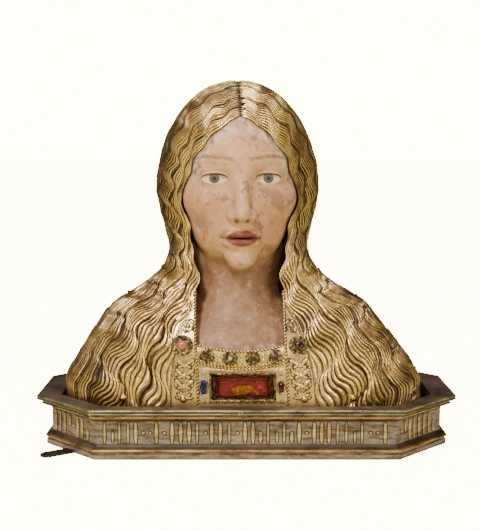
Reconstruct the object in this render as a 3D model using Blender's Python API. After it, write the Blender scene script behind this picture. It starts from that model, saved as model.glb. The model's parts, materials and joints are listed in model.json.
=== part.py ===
"""Bust reliquary: gilt hair and shoulders round a painted face, standing in a moulded octagonal base.

Metres, +Z up, the front towards -Y. The origin is on the floor, under the middle of the base.
"""

import math

import bmesh
import bpy
import numpy as np
from mathutils import Matrix, Vector

# Base
BASE_WIDTH = 0.500
BASE_DEPTH = 0.260
BASE_FRONT_LENGTH = 0.356
BASE_SIDE_LENGTH = 0.109
BASE_HEIGHT = 0.060
LEDGE_WIDTH = 0.028
LEDGE_FALL = 0.002
FRIEZE_SETBACK = 0.0175
FOOT_SETBACK = 0.0105
BOARD_THICKNESS = 0.012
TONGUE_WIDTH = 0.0155
TONGUE_THICKNESS = 0.003
TONGUE_LENGTH = 0.105
TONGUE_REACH = 0.0265
TONGUE_TURN = math.radians(34)
TONGUE_ROUNDING = 8
GAP = 0.0003

# The frame's mouldings: setbacks are shares of the frieze's or the foot's, heights are real sizes
RIM_MOULDING = (
    (0.086, 0.0),
    (0.0, 0.0012),
    (0.0, 0.0045),
    (0.07, 0.0055),
    (0.42, 0.0072),
    (0.40, 0.0088),
    (0.42, 0.0112),
    (0.60, 0.0128),
    (0.86, 0.0145),
    (1.0, 0.0172),
)
FOOT_MOULDING = (
    (1.67, 0.0165),
    (1.55, 0.0132),
    (1.0, 0.0118),
    (0.90, 0.0102),
    (1.0, 0.0086),
    (1.17, 0.0076),
    (1.17, 0.0060),
    (1.04, 0.0053),
    (1.04, 0.0),
)

# Figure. Places and widths of its free form are shares of its height above the rim.
FIGURE_HEIGHT = 0.3733
FOOT_SIDE_GAP = 0.0065
FOOT_FRONT_GAP = 0.0015
HAIR_HALF_WIDTH = 0.2625
EARS = 0.643
HEAD_HEIGHT = 0.584
EYE_LINE = 0.691
HEAD_TURN = math.radians(3.5)
NECK_FOOT = 0.139
PANEL_HALF_WIDTH = 0.1347
PANEL_TOP = 0.327
NECKLINE = 0.161
NECKLINE_RISE = 0.019
HAIRLINE_TOP = math.radians(-48.5)
HAIRLINE_TEMPLE = math.radians(-36)
HAIRLINE_DIP = math.radians(6.5)
HUGS_SKIN_FROM = 0.44
HUGS_SKIN_ABOVE = 0.53
HAIR_ROLL = 0.24
PIN_HOLES = ((0.9322, 0.0018), (0.9135, 0.0023))
PIN_HOLE_X = -0.0134
PIN_HOLE_DEPTH = 0.008

# The stations of the bust, from the rim of the base up to the ears, in shares of the figure's height.
# Spread is 0 at the hair's half width and 1 at the foot's. Square is the section's exponent.
#     height spread front  back  square axis_x  hair_edge
STATIONS = (
    (0.000, 1.000, 0.269, 0.269, 3.0, -0.0094, 0.230),
    (0.046, 0.987, 0.264, 0.268, 3.0, -0.0113, 0.228),
    (0.110, 0.875, 0.254, 0.262, 2.9, -0.0134, 0.220),
    (0.161, 0.763, 0.247, 0.257, 2.8, -0.0174, 0.209),
    (0.234, 0.594, 0.217, 0.249, 2.6, -0.0209, 0.187),
    (0.271, 0.500, 0.198, 0.244, 2.5, -0.0214, 0.166),
    (0.324, 0.247, 0.174, 0.236, 2.3, -0.0225, 0.137),
    (0.361, 0.078, 0.163, 0.233, 2.2, -0.0230, 0.129),
    (0.397, -0.035, 0.163, 0.233, 2.1, -0.0236, 0.129),
    (0.460, -0.116, 0.179, 0.244, 2.0, -0.0254, 0.153),
    (0.532, -0.076, 0.209, 0.268, 2.0, -0.0268, 0.185),
    (0.597, -0.027, 0.237, 0.289, 2.0, -0.0276, 0.206),
    (0.643, 0.000, 0.257, 0.300, 2.0, -0.0281, 0.212),
)
SHOULDERS = 0.271

# Hair
LOCKS = 12
LOCK_CRESTS = (-0.6, 0.4)
LOCK_DEPTH = 0.0056
LOCK_WAVE = 0.054
LOCK_SWING = 0.0070
LOCK_LAG = 3.0
DOME_ROW_FALL = 0.010
DOME_ROWS = 8
LOWER_ROWS = 20
HAIR_COLUMNS = LOCKS * len(LOCK_CRESTS)
PANEL_COLUMNS = (0.0, 0.33, 0.66, 1.0, 1.03)
FRONT_COLUMNS = len(PANEL_COLUMNS) + 1
PANEL_TO_EDGE = 0.85
HAIR_ON_SKIN = 0.0050
HAIR_LIP = 0.001
BAND_RAISE = 0.0012
PLAIN_FOOT = 0.0125
FACE_OPENING_BACK = 0.010
MERGE = 0.00005

# The painted head is modelled as blended forms, in head millimetres from the middle of the eye line:
# x to the side, f forward and z up. A form is an egg about one point or a rod between two.
HEAD_MODEL_HEIGHT = 218
HEAD_FORMS = (
    # name, from, to, radii, softness of the join, and 1 to add or -1 to take away
    ("cranium", (0, -8, 18), None, (72, 91, 86), 0, 1),
    ("mid_face", (0, 22, -28), None, (62, 60, 78), 14, 1),
    ("cheekbone", (41, 43, -24), None, (23, 27, 18), 20, 1),
    ("jaw", (0, 22, -64), None, (50, 52, 40), 14, 1),
    ("chin", (0, 66, -93), None, (17, 16, 14.5), 15, 1),
    ("muzzle", (0, 60, -62), None, (28, 24, 24), 14, 1),
    ("brow", (8, 68, 15), (41, 54, 18), (12, 9), 14, 1),
    ("eye_socket", (31, 92, -1), None, (18, 19, 12.5), 13, -1),
    ("bridge", (0, 71, 10), (0, 92, -36), (8.5, 8), 9, 1),
    ("nose_tip", (0, 94, -40), None, (10, 10.5, 8.5), 6, 1),
    ("nose_wing", (11.5, 85, -42.5), None, (6.5, 9.5, 6.5), 4, 1),
    ("nostril", (6.2, 91, -49.5), None, (3.2, 6, 2.6), 2, -1),
    ("lids", (31, 60.5, -0.5), None, (17, 16, 14), 5, 1),
    ("eye_opening", (31, 79, -1), None, (14.2, 12, 5.4), 1.5, -1),
    ("eyeball", (31, 60.5, -1), None, (14, 14, 13.5), 0.6, 1),
    ("upper_lip", (9, 78.5, -63.4), None, (14, 9.6, 5.4), 4, 1),
    ("lip_middle", (0, 81, -64.4), None, (7, 9.5, 5.4), 3, 1),
    ("lower_lip", (6, 77.5, -74.3), None, (15.5, 10.8, 6.4), 4, 1),
    ("philtrum", (0, 99, -56), None, (3.4, 12, 6.5), 4, -1),
    ("under_lip", (0, 97, -85), None, (17, 13, 4.8), 9, -1),
    ("mouth_line", (0, 92, -68.8), None, (25, 11, 1.2), 1.8, -1),
    ("mouth_corner", (25.5, 77, -68.8), None, (3, 6, 2.4), 4, -1),
)
NECK_FORMS = (
    ("neck", (0, -12, -50), (0, 2, -150), (51, 52), 0, 1),
    ("breast", (0, 17, -214), None, (112, 73, 66), 26, 1),
    ("neck_cord", (44, -8, -84), (11, 46, -184), (9, 7), 16, 1),
)
CHIN_TO_NECK = 9
# Rays find the skin from the head's axis: share of the rows from the crown down, height, slope in degrees
RAY_FAN = (
    (0.0, 25, 90),
    (0.14, 25, 20),
    (0.20, 20, 0),
    (0.74, -80, 0),
    (0.80, -80, -30),
    (0.85, -84, -42),
    (0.89, -119, -20),
    (0.93, -148, 0),
    (1.0, -206, 0),
)
HEAD_COLUMNS = 28
HEAD_ROWS = 36
FACE_CROWDING = 0.68
HEAD_ROOM = 0.0012
BREAST_SIDE = 0.005
BREAST_LEVEL = 0.321
FAR_OUT = 260.0
MARCH_STEP = 0.7
MARCH_COUNT = 90

# Relic window
WINDOW_WIDTH = 0.0765
WINDOW_TALL = 0.033
WINDOW_X = -0.0120
WINDOW_LEVEL = 0.0522
COLLET_WALL = 0.0028
COLLET_TALL = 0.0050
COLLET_CHAMFER = 0.0009
CRYSTAL_GIRDLE = 0.0016
CRYSTAL_TALL = 0.0044
CRYSTAL_BEVEL = 0.0060
CASE_DEPTH = 0.013
CASE_WALL = 0.0012
CASE_MARGIN = 0.0040

# Settings on the breast
SEAT = 0.0005
SIDE_GAP = 0.0008
COLLET_RISE = 0.0032
STONE_RISE = 1.25
STONE_ARC = (0.5, 0.95, 1.3)
OVAL_SIDES = 12
STUD_SIDES = 8
BLUE_HALF = (0.0056, 0.0100)
RED_HALF = (0.0050, 0.0087)
SIDE_WALL = 0.0015
CORAL_HALF = (0.0128, 0.0122)
DARK_HALF = (0.0124, 0.0108)
ROUNDEL_WALL = 0.0058
ROUNDEL_OUT = 0.0447
ROUNDEL_LEVEL = 0.176
ROSETTES = 4
ROSETTE_PITCH = 0.0702
ROSETTE_LEVEL = 0.1385
ROSETTE_RADIUS = 0.0092
ROSETTE_LOBE = 0.07
ROSETTE_TALL = 0.0026
ROSETTE_PETALS = 8
ROSETTE_EYE = 0.0040
ROSETTE_STONE = 0.0026
ROSETTE_STONE_FLAT = 0.7
PEARL_RADIUS = 0.0030
PEARL_OUT = 0.0155
STUD_RADIUS = 0.0040
STUD_TALL = 0.0034
STUD_LEVEL = 0.0055
STUD_SPREAD = (-0.643, -0.320, 0.325, 0.587)


def clear_scene():
    for thing in list(bpy.data.objects):
        bpy.data.objects.remove(thing, do_unlink=True)


def new_collection(name):
    made = bpy.data.collections.new(name)
    bpy.context.scene.collection.children.link(made)
    return made


def new_material(name, colour, roughness, metallic):
    material = bpy.data.materials.new(name)
    material.use_nodes = True
    shader = material.node_tree.nodes["Principled BSDF"]
    shader.inputs["Base Color"].default_value = (*colour, 1)
    shader.inputs["Roughness"].default_value = roughness
    shader.inputs["Metallic"].default_value = metallic
    return material


def add_object(name, bm, material, place=None, smooth_angle=35):
    """Turns a bmesh into a named part at its place."""
    bmesh.ops.recalc_face_normals(bm, faces=bm.faces)
    mesh = bpy.data.meshes.new(name)
    bm.to_mesh(mesh)
    bm.free()
    mesh.shade_smooth()
    mesh.set_sharp_from_angle(angle=math.radians(smooth_angle))
    mesh.materials.append(material)
    thing = bpy.data.objects.new(name, mesh)
    PARTS.objects.link(thing)
    if place is not None:
        thing.matrix_world = place
    return thing


def add_cutter(name, bm, place=None):
    bmesh.ops.recalc_face_normals(bm, faces=bm.faces)
    mesh = bpy.data.meshes.new(name)
    bm.to_mesh(mesh)
    bm.free()
    cutter = bpy.data.objects.new(name, mesh)
    CUTTERS.objects.link(cutter)
    cutter.hide_render = True
    cutter.display_type = "WIRE"
    if place is not None:
        cutter.matrix_world = place
    return cutter


def cut(target, cutter):
    boolean = target.modifiers.new("cut by " + cutter.name, "BOOLEAN")
    boolean.operation = "DIFFERENCE"
    boolean.object = cutter


def smooth_curve(xs, ys, at):
    """Values at some places on a smooth curve through the given points, in rising order of x."""
    slopes = np.gradient(ys, xs)
    i = np.clip(np.searchsorted(xs, at) - 1, 0, len(xs) - 2)
    step = xs[i + 1] - xs[i]
    u = np.clip((at - xs[i]) / step, 0, 1)
    start = (1 + 2 * u) * (1 - u) ** 2 * ys[i] + u * (1 - u) ** 2 * step * slopes[i]
    end = u**2 * (3 - 2 * u) * ys[i + 1] - u**2 * (1 - u) * step * slopes[i + 1]
    return float(start + end)


# Rings of corners, and solids made from them


def octagon(outset):
    """The eight corners of the base's plan, moved out from the rim by outset, anticlockwise."""
    half_x = BASE_WIDTH / 2
    half_y = BASE_DEPTH / 2
    front = BASE_FRONT_LENGTH / 2
    side = BASE_SIDE_LENGTH / 2
    turn = math.atan2(half_y - side, half_x - front)
    front += outset * math.tan(turn / 2)
    side += outset * math.tan((math.pi / 2 - turn) / 2)
    right = [(half_x + outset, side), (front, half_y + outset)]
    rear = right + [(-x, y) for x, y in reversed(right)]
    return rear + [(-x, -y) for x, y in rear]


def rectangle(half_x, half_y):
    """An outline function: the rectangle's corners, moved out by an outset."""

    def at(outset):
        x = half_x + outset
        y = half_y + outset
        return [(x, -y), (x, y), (-x, y), (-x, -y)]

    return at


def oval(half_x, half_y, sides=OVAL_SIDES):
    """An outline function: corners round an oval, moved out by an outset."""

    def at(outset):
        angles = [math.tau * k / sides for k in range(sides)]
        return [((half_x + outset) * math.cos(a), (half_y + outset) * math.sin(a)) for a in angles]

    return at


def flower(outset):
    """A rosette's petalled outline, moved out by an outset."""
    points = []
    for k in range(2 * ROSETTE_PETALS):
        angle = math.tau * k / (2 * ROSETTE_PETALS)
        radius = ROSETTE_RADIUS * (1 - ROSETTE_LOBE * (k % 2)) + outset
        points.append((radius * math.cos(angle), radius * math.sin(angle)))
    return points


def ring_of(bm, corners, height):
    return [bm.verts.new((x, y, height)) for x, y in corners]


def skin_between(bm, lower, upper):
    """Four-sided faces from one ring of corners to the next, corner to corner."""
    ahead = zip(lower[1:] + lower[:1], upper[1:] + upper[:1])
    for a, d, (b, c) in zip(lower, upper, ahead):
        bm.faces.new((a, b, c, d))


def swept_ring(outline_at, profile):
    """A closed moulding: the profile's (outset, height) points carried round an outline."""
    bm = bmesh.new()
    rings = [ring_of(bm, outline_at(outset), height) for outset, height in profile]
    for lower, upper in zip(rings, rings[1:] + rings[:1]):
        skin_between(bm, lower, upper)
    return bm


def solid_stack(rings):
    """A closed solid through rings of corners, each with its height."""
    bm = bmesh.new()
    loops = [ring_of(bm, corners, height) for corners, height in rings]
    for lower, upper in zip(loops, loops[1:]):
        skin_between(bm, lower, upper)
    for loop in (loops[0], loops[-1]):
        bm.faces.new(loop)
    return bm


def dome_rings(outline_at, radius, foot, rise):
    """The rings of a rounded top, drawn in over its radius as it rises from its foot."""
    rings = []
    for angle in STONE_ARC:
        rings.append((outline_at(radius * (math.cos(angle) - 1)), foot + rise * math.sin(angle)))
    return rings


# The octagonal base


def make_base_frame():
    inner = (-LEDGE_WIDTH, BASE_HEIGHT - LEDGE_FALL)
    rim = [(-share * FRIEZE_SETBACK, BASE_HEIGHT - drop) for share, drop in RIM_MOULDING]
    foot = [(-share * FOOT_SETBACK, rise) for share, rise in FOOT_MOULDING]
    bm = swept_ring(octagon, [inner] + rim + foot + [(-LEDGE_WIDTH, 0.0)])
    base = add_object("base_frame", bm, GILT_COPPER)
    cut(base, add_cutter("tongue_way", strap(GAP), tongue_place()))


def tongue_place():
    """The strap lies on the floor, from under the board out past the front left chamfer."""
    front_corner = Vector((-BASE_FRONT_LENGTH / 2, -BASE_DEPTH / 2))
    side_corner = Vector((-BASE_WIDTH / 2, -BASE_SIDE_LENGTH / 2))
    way_out = Vector((-math.cos(TONGUE_TURN), -math.sin(TONGUE_TURN)))
    tip = front_corner.lerp(side_corner, 0.5) + way_out * TONGUE_REACH
    middle = tip - way_out * TONGUE_LENGTH / 2
    return Matrix.Translation((middle.x, middle.y, 0)) @ Matrix.Rotation(math.pi + TONGUE_TURN, 4, "Z")


def strap(margin):
    """A flat bar along X with a rounded end at +X, or the room for it with a margin all round."""
    half_length = TONGUE_LENGTH / 2 + margin
    radius = TONGUE_WIDTH / 2 + margin
    corners = [(-half_length, radius), (-half_length, -radius)]
    for step in range(TONGUE_ROUNDING + 1):
        angle = math.pi * (step / TONGUE_ROUNDING - 0.5)
        corners.append((half_length - radius + radius * math.cos(angle), radius * math.sin(angle)))
    return solid_stack([(corners, -margin), (corners, TONGUE_THICKNESS + margin)])


def make_bottom_board():
    plan = octagon(-LEDGE_WIDTH - GAP)
    board = add_object("bottom_board", solid_stack([(plan, 0.0), (plan, BOARD_THICKNESS)]), OAK)
    cut(board, add_cutter("tongue_channel", strap(GAP), tongue_place()))


def make_iron_tongue():
    add_object("iron_tongue", strap(0.0), IRON, tongue_place())


# The gilt hair and shoulders


def section_at(height):
    """The bust's plan section at a height above the rim, in metres."""
    level, *columns = (np.array(column) for column in zip(*STATIONS))
    at = min(max(height / FIGURE_HEIGHT, 0), EARS)
    spread, front, back, square, axis_x, edge = (smooth_curve(level, column, at) for column in columns)
    foot_wide = BASE_WIDTH / 2 - LEDGE_WIDTH - FOOT_SIDE_GAP
    foot_deep = BASE_DEPTH / 2 - LEDGE_WIDTH - FOOT_FRONT_GAP
    hair_wide = HAIR_HALF_WIDTH * FIGURE_HEIGHT
    near_foot = max(1 - at / SHOULDERS, 0)
    fit = 1 + (foot_deep / (columns[1][0] * FIGURE_HEIGHT) - 1) * near_foot
    return {
        "wide": hair_wide + (foot_wide - hair_wide) * spread,
        "front": front * FIGURE_HEIGHT * fit,
        "back": back * FIGURE_HEIGHT * fit,
        "square": square,
        "axis": axis_x * FIGURE_HEIGHT,
        "edge": edge * FIGURE_HEIGHT,
    }


def row_height(row):
    """Height above the rim of a row: the dome's rows all start from the ears, the rest go into the base."""
    lowest = BOARD_THICKNESS + GAP - BASE_HEIGHT
    highest = EARS * FIGURE_HEIGHT
    return highest + (lowest - highest) * max(row - DOME_ROWS, 0) / LOWER_ROWS


def hairline_angle(row):
    """The angle of the hair's inner edge: it comes down low on both sides of the parting."""
    share = min(row / DOME_ROWS, 1)
    straight = HAIRLINE_TOP + (HAIRLINE_TEMPLE - HAIRLINE_TOP) * share**1.6
    return straight - HAIRLINE_DIP * math.sin(math.pi * share)


def angle_at(x, section):
    """The angle round the front of the section at a distance from its middle."""
    share = min(max(x / section["wide"], 0), 1)
    return -math.acos(share ** (section["square"] / 2))


def loft_point(angle, row):
    """A point of the right half of the smooth bust, with its axis on x 0."""
    section = section_at(row_height(row))
    dome = math.pi / 2 * (1 - min(row / DOME_ROWS, 1))
    lift = (1 - EARS) * FIGURE_HEIGHT * math.sin(dome) * math.cos(angle)
    depth = section["back"] if angle > 0 else section["front"]
    power = 2 / section["square"]
    across = max(math.cos(angle), 0) ** power * section["wide"] * math.cos(dome)
    along = math.copysign(abs(math.sin(angle)) ** power, angle) * depth
    return Vector((across, along, BASE_HEIGHT + row_height(row) + lift))


def front_angle(column, row):
    """Angle of the columns before the hair: the breast panel, the step up to the band, the hair's edge."""
    if row < DOME_ROWS:
        return -math.pi / 2 + (math.pi / 2 + hairline_angle(row)) * column / FRONT_COLUMNS
    section = section_at(row_height(row))
    panel = min(PANEL_HALF_WIDTH * FIGURE_HEIGHT, PANEL_TO_EDGE * section["edge"])
    reaches = [panel * share for share in PANEL_COLUMNS]
    reaches += [(panel + section["edge"]) / 2, section["edge"]]
    return angle_at(reaches[column], section)


def hair_angle(share, row):
    """Angle of a column of hair, from its edge at share 0 to the back at 1, swinging as it falls."""
    edge = front_angle(FRONT_COLUMNS, row)
    fall = EARS * FIGURE_HEIGHT - row_height(row) + DOME_ROW_FALL * min(row, DOME_ROWS)
    loose = min(4 * share, 4 * (1 - share), 1)
    swing = LOCK_SWING * loose * math.sin(math.tau * fall / LOCK_WAVE + LOCK_LAG * share)
    return edge + (math.pi / 2 - edge) * share + swing / section_at(row_height(row))["wide"]


def skin_reach(points):
    """How far from the head's axis the skin is, level with each point and in its direction."""
    to_head = np.array(head_place().inverted())
    level = (points @ to_head[:3, :3].T + to_head[:3, 3]) * (1, -1, 1)
    axis = level * (0, 0, 1)
    out = level - axis
    ray = out / np.maximum(np.linalg.norm(out, axis=1), 1)[:, None]
    return march_to_skin(axis, ray) * HEAD_HEIGHT * FIGURE_HEIGHT / HEAD_MODEL_HEIGHT


def hug_skin(points, shares, levels):
    """Draws the hair's inner edge in on to the skin, so that the locks roll up from cheek and brow."""
    from_axis = points + np.array((section_at(EYE_LINE * FIGURE_HEIGHT)["axis"], 0, 0))
    target = skin_reach(from_axis) + HAIR_ON_SKIN
    far = np.maximum(np.hypot(points[:, 0], points[:, 1]), MERGE)
    roll = np.clip(1 - shares / HAIR_ROLL, 0, 1)
    high = np.clip((levels - HUGS_SKIN_FROM) / (HUGS_SKIN_ABOVE - HUGS_SKIN_FROM), 0, 1)
    pull = roll**2 * (3 - 2 * roll) * high * (1 - target / far)
    scale = 1 - np.clip(pull, 0, 1)
    return points * np.stack([scale, scale, np.ones_like(scale)], 1)


def hair_sheet():
    """The right half of the bust: a grid bent round it, with the hair in locks that wave as they fall."""
    columns = FRONT_COLUMNS + HAIR_COLUMNS
    rows = DOME_ROWS + LOWER_ROWS
    bm = bmesh.new()
    bmesh.ops.create_grid(bm, x_segments=columns, y_segments=rows, size=0.5)
    grid = [(round((v.co.x + 0.5) * columns), round((0.5 - v.co.y) * rows)) for v in bm.verts]
    shares = np.array([max(column - FRONT_COLUMNS, 0) / HAIR_COLUMNS for column, _ in grid])
    for vert, share, (column, row) in zip(bm.verts, shares, grid):
        angle = front_angle(column, row) if column < FRONT_COLUMNS else hair_angle(share, row)
        vert.co = loft_point(angle, row)
    levels = np.array([row_height(row) / FIGURE_HEIGHT for _, row in grid])
    placed = hug_skin(np.array([v.co for v in bm.verts]), shares, levels)
    for vert, spot in zip(bm.verts, placed):
        vert.co = spot
    bm.normal_update()
    outward = [vert.normal.copy() for vert in bm.verts]
    for vert, normal, share, (column, row) in zip(bm.verts, outward, shares, grid):
        if row_height(row) > PLAIN_FOOT:
            vert.co += normal * relief(column, row, share)
    return bm, grid


def relief(column, row, share):
    """How far a point of the grid stands out from the smooth bust."""
    if len(PANEL_COLUMNS) - 1 <= column < FRONT_COLUMNS and row > DOME_ROWS:
        return BAND_RAISE
    if 0 < share < 1 and row > 0:
        return LOCK_DEPTH * LOCK_CRESTS[(column - FRONT_COLUMNS) % len(LOCK_CRESTS)]
    return 0.0


def place_on_axis(bm):
    """Moves the symmetrical bust on to its leaning axis and turns the head a little."""
    for vert in bm.verts:
        height = max(vert.co.z - BASE_HEIGHT, 0)
        share = min(height / (EARS * FIGURE_HEIGHT), 1)
        vert.co = Matrix.Rotation(HEAD_TURN * share**3, 3, "Z") @ vert.co
        vert.co.x += section_at(height)["axis"]


def make_hair_and_shoulders():
    """Half the bust as a sheet of locks, mirrored, closed, and opened for the face and the relic case."""
    bm, grid = hair_sheet()
    edge = sorted((row, v.co.copy()) for v, (column, row) in zip(bm.verts, grid) if column == FRONT_COLUMNS)
    for vert, (column, row) in zip(bm.verts, grid):
        if column in (0, FRONT_COLUMNS + HAIR_COLUMNS) or row == 0:
            vert.co.x = 0.0
    bmesh.ops.remove_doubles(bm, verts=bm.verts, dist=MERGE)
    bmesh.ops.mirror(bm, geom=bm.verts[:] + bm.edges[:] + bm.faces[:], axis="X", merge_dist=MERGE)
    place_on_axis(bm)
    bmesh.ops.contextual_create(bm, geom=[e for e in bm.edges if e.is_boundary])
    bust = add_object("hair_and_shoulders", bm, GILT_COPPER, smooth_angle=32)
    cut(bust, face_opening([spot for _, spot in edge]))
    cut(bust, add_cutter("head_room", trimmed_head(HEAD_ROOM)))
    cut(bust, case_pocket())
    for cutter in pin_holes():
        cut(bust, cutter)


def face_opening(edge):
    """A prism from the front, as wide as the gap between the hair's inner edges, down to the neckline."""
    panel = PANEL_HALF_WIDTH * FIGURE_HEIGHT
    middle = BASE_HEIGHT + NECKLINE * FIGURE_HEIGHT
    corner = middle + NECKLINE_RISE * FIGURE_HEIGHT
    right = [(0.0, edge[0].z + HAIR_LIP)]
    for spot in edge[1:]:
        if spot.z > BASE_HEIGHT + PANEL_TOP * FIGURE_HEIGHT:
            right.append((spot.x + HAIR_LIP, spot.z))
        elif spot.z > corner + FIGURE_HEIGHT / LOWER_ROWS / 4:
            right.append((min(spot.x + HAIR_LIP, panel), spot.z))
    right += [(panel, corner), (panel / 2, (3 * middle + corner) / 4)]
    outline = right + [(0.0, middle)] + [(-x, z) for x, z in reversed(right[1:])]
    bm = bmesh.new()
    face = bm.faces.new([bm.verts.new((x, -FACE_OPENING_BACK, z)) for x, z in outline])
    front = bmesh.ops.extrude_face_region(bm, geom=[face])
    moved = [v for v in front["geom"] if isinstance(v, bmesh.types.BMVert)]
    bmesh.ops.translate(bm, verts=moved, vec=(0, -BASE_DEPTH, 0))
    place_on_axis(bm)
    return add_cutter("face_opening", bm)


def pin_holes():
    """Two old pin holes on the parting, one over the other, each square to the hair there."""
    ears = EARS * FIGURE_HEIGHT
    crown = FIGURE_HEIGHT - ears
    depth = section_at(ears)["front"]
    made = []
    for share, radius in PIN_HOLES:
        lean = math.acos((share * FIGURE_HEIGHT - ears) / crown)
        level = BASE_HEIGHT + share * FIGURE_HEIGHT
        spot = Vector((PIN_HOLE_X * FIGURE_HEIGHT, -depth * math.sin(lean), level))
        outward = Vector((0, -math.sin(lean) / depth, math.cos(lean) / crown))
        place = Matrix.Translation(spot) @ outward.to_track_quat("Z", "Y").to_matrix().to_4x4()
        bm = bmesh.new()
        bmesh.ops.create_cone(
            bm, cap_ends=True, segments=STUD_SIDES, radius1=radius, radius2=radius, depth=2 * PIN_HOLE_DEPTH
        )
        made.append(add_cutter("pin_hole", bm, place))
    return made


# The painted head


def egg(points, middle, radii):
    """Distance from an ellipsoid's surface, near enough close to it."""
    scaled = (points - np.array(middle)) / np.array(radii)
    near = np.linalg.norm(scaled, axis=1)
    slope = np.linalg.norm(scaled / np.array(radii), axis=1)
    return near * (near - 1) / np.maximum(slope, 1e-9)


def rod(points, start, end, radii):
    """Distance from a rod between two points, with a radius at each."""
    line = np.array(end) - np.array(start)
    share = np.clip((points - np.array(start)) @ line / (line @ line), 0, 1)
    nearest = np.array(start) + share[:, None] * line
    return np.linalg.norm(points - nearest, axis=1) - (radii[0] + (radii[1] - radii[0]) * share)


def blend(a, b, softness):
    """The nearer of two distances, rounded where they are alike."""
    if softness == 0:
        return np.minimum(a, b)
    share = np.clip(0.5 + 0.5 * (b - a) / softness, 0, 1)
    return b * (1 - share) + a * share - softness * share * (1 - share)


def joined_forms(points, forms):
    found = np.full(len(points), FAR_OUT)
    for _, start, end, radii, softness, sign in forms:
        form = rod(points, start, end, radii) if end else egg(points, start, radii)
        found = blend(found, form, softness) if sign > 0 else -blend(-found, form, softness)
    return found


def head_distance(points):
    """Distance from the head's surface in head millimetres, less than 0 inside. Both sides are alike."""
    one_side = np.abs(points) * (1, 0, 0) + points * (0, 1, 1)
    return blend(joined_forms(one_side, HEAD_FORMS), joined_forms(one_side, NECK_FORMS), CHIN_TO_NECK)


def march_to_skin(origin, ray):
    """How far along each ray the skin lies, found from outside."""
    reach = np.full(len(origin), FAR_OUT)
    for _ in range(MARCH_COUNT):
        reach -= MARCH_STEP * head_distance(origin + reach[:, None] * ray)
        reach = np.maximum(reach, 1.0)
    return reach


def head_mesh():
    """The head and neck in head millimetres: a ball whose points are drawn in on to the blended forms."""
    bm = bmesh.new()
    bmesh.ops.create_uvsphere(bm, u_segments=HEAD_COLUMNS, v_segments=HEAD_ROWS, radius=1)
    ball = np.array([v.co for v in bm.verts])
    down = np.arccos(np.clip(ball[:, 2], -1, 1)) / math.pi
    azimuth = np.arctan2(ball[:, 0], -ball[:, 1])
    azimuth -= FACE_CROWDING * np.sin(azimuth)
    shares, heights, slopes = np.array(RAY_FAN).T
    slope = np.radians(np.interp(down, shares, slopes))
    origin = np.interp(down, shares, heights)[:, None] * (0, 0, 1)
    level = np.cos(slope)
    ray = np.stack([np.sin(azimuth) * level, np.cos(azimuth) * level, np.sin(slope)], 1)
    reach = march_to_skin(origin, ray)
    reach[down > 1 - MERGE] = 0.0
    for vert, (side, forward, up) in zip(bm.verts, origin + reach[:, None] * ray):
        vert.co = (side, -forward, up)
    bmesh.ops.triangulate(bm, faces=bm.faces)
    return bm


def head_place():
    """From head millimetres to the room: the eye line, the turn of the head and the scale."""
    height = EYE_LINE * FIGURE_HEIGHT
    place = Matrix.Translation((section_at(height)["axis"], 0, BASE_HEIGHT + height))
    scale = HEAD_HEIGHT * FIGURE_HEIGHT / HEAD_MODEL_HEIGHT
    return place @ Matrix.Rotation(HEAD_TURN, 4, "Z") @ Matrix.Scale(scale, 4)


def trimmed_head(grow):
    """The head in the room, narrowed to the breast panel and cut flat below, its skin moved out by grow."""
    bm = head_mesh()
    bmesh.ops.transform(bm, matrix=head_place(), verts=bm.verts)
    bm.normal_update()
    outward = [vert.normal.copy() for vert in bm.verts]
    axis_x = section_at(NECK_FOOT * FIGURE_HEIGHT)["axis"]
    side = PANEL_HALF_WIDTH * FIGURE_HEIGHT + BREAST_SIDE + grow
    for vert, normal in zip(bm.verts, outward):
        vert.co += normal * grow
        past = abs(vert.co.x - axis_x) - side
        if past > 0 and vert.co.z < BASE_HEIGHT + BREAST_LEVEL * FIGURE_HEIGHT:
            vert.co.x = axis_x + math.copysign(side + past / 50, vert.co.x - axis_x)
    foot = (0, 0, BASE_HEIGHT + NECK_FOOT * FIGURE_HEIGHT - grow)
    whole = bm.verts[:] + bm.edges[:] + bm.faces[:]
    done = bmesh.ops.bisect_plane(
        bm, geom=whole, dist=MERGE / 50, plane_co=foot, plane_no=(0, 0, -1), clear_outer=True
    )
    bmesh.ops.contextual_create(bm, geom=[e for e in done["geom_cut"] if isinstance(e, bmesh.types.BMEdge)])
    return bm


def make_face_and_neck():
    add_object("face_and_neck", trimmed_head(0.0), PAINTED_FLESH, smooth_angle=60)


# The relic window and the settings on the breast


def front_depth(x, height):
    """How far the smooth bust stands out in front at a place."""
    section = section_at(height)
    share = min(abs(x - section["axis"]) / section["wide"], 1)
    return section["front"] * (1 - share ** section["square"]) ** (1 / section["square"])


def front_place(x, height, lift=0.0):
    """The frame of a piece on the breast: its origin on the surface, its Z straight out of it."""
    step = FIGURE_HEIGHT / 100
    low = max(height - step, 0)
    rise = (front_depth(x, height + step) - front_depth(x, low)) / (height + step - low)
    side = (front_depth(x + step, height) - front_depth(x - step, height)) / (2 * step)
    normal = Vector((-side, -1, -rise)).normalized()
    across = Vector((0, 0, 1)).cross(normal).normalized()
    turn = Matrix((across, normal.cross(across), normal)).transposed().to_4x4()
    spot = Vector((x, -front_depth(x, height), BASE_HEIGHT + height))
    return Matrix.Translation(spot + normal * lift) @ turn


def window_centre():
    return WINDOW_X * FIGURE_HEIGHT, WINDOW_LEVEL * FIGURE_HEIGHT


def case_outline(outset):
    half_x = WINDOW_WIDTH / 2 - CASE_MARGIN
    half_y = WINDOW_TALL / 2 - CASE_MARGIN
    return rectangle(half_x, half_y)(outset)


def case_pocket():
    bm = solid_stack([(case_outline(GAP), -CASE_DEPTH - GAP), (case_outline(GAP), CASE_DEPTH)])
    return add_cutter("case_pocket", bm, front_place(*window_centre()))


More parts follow.
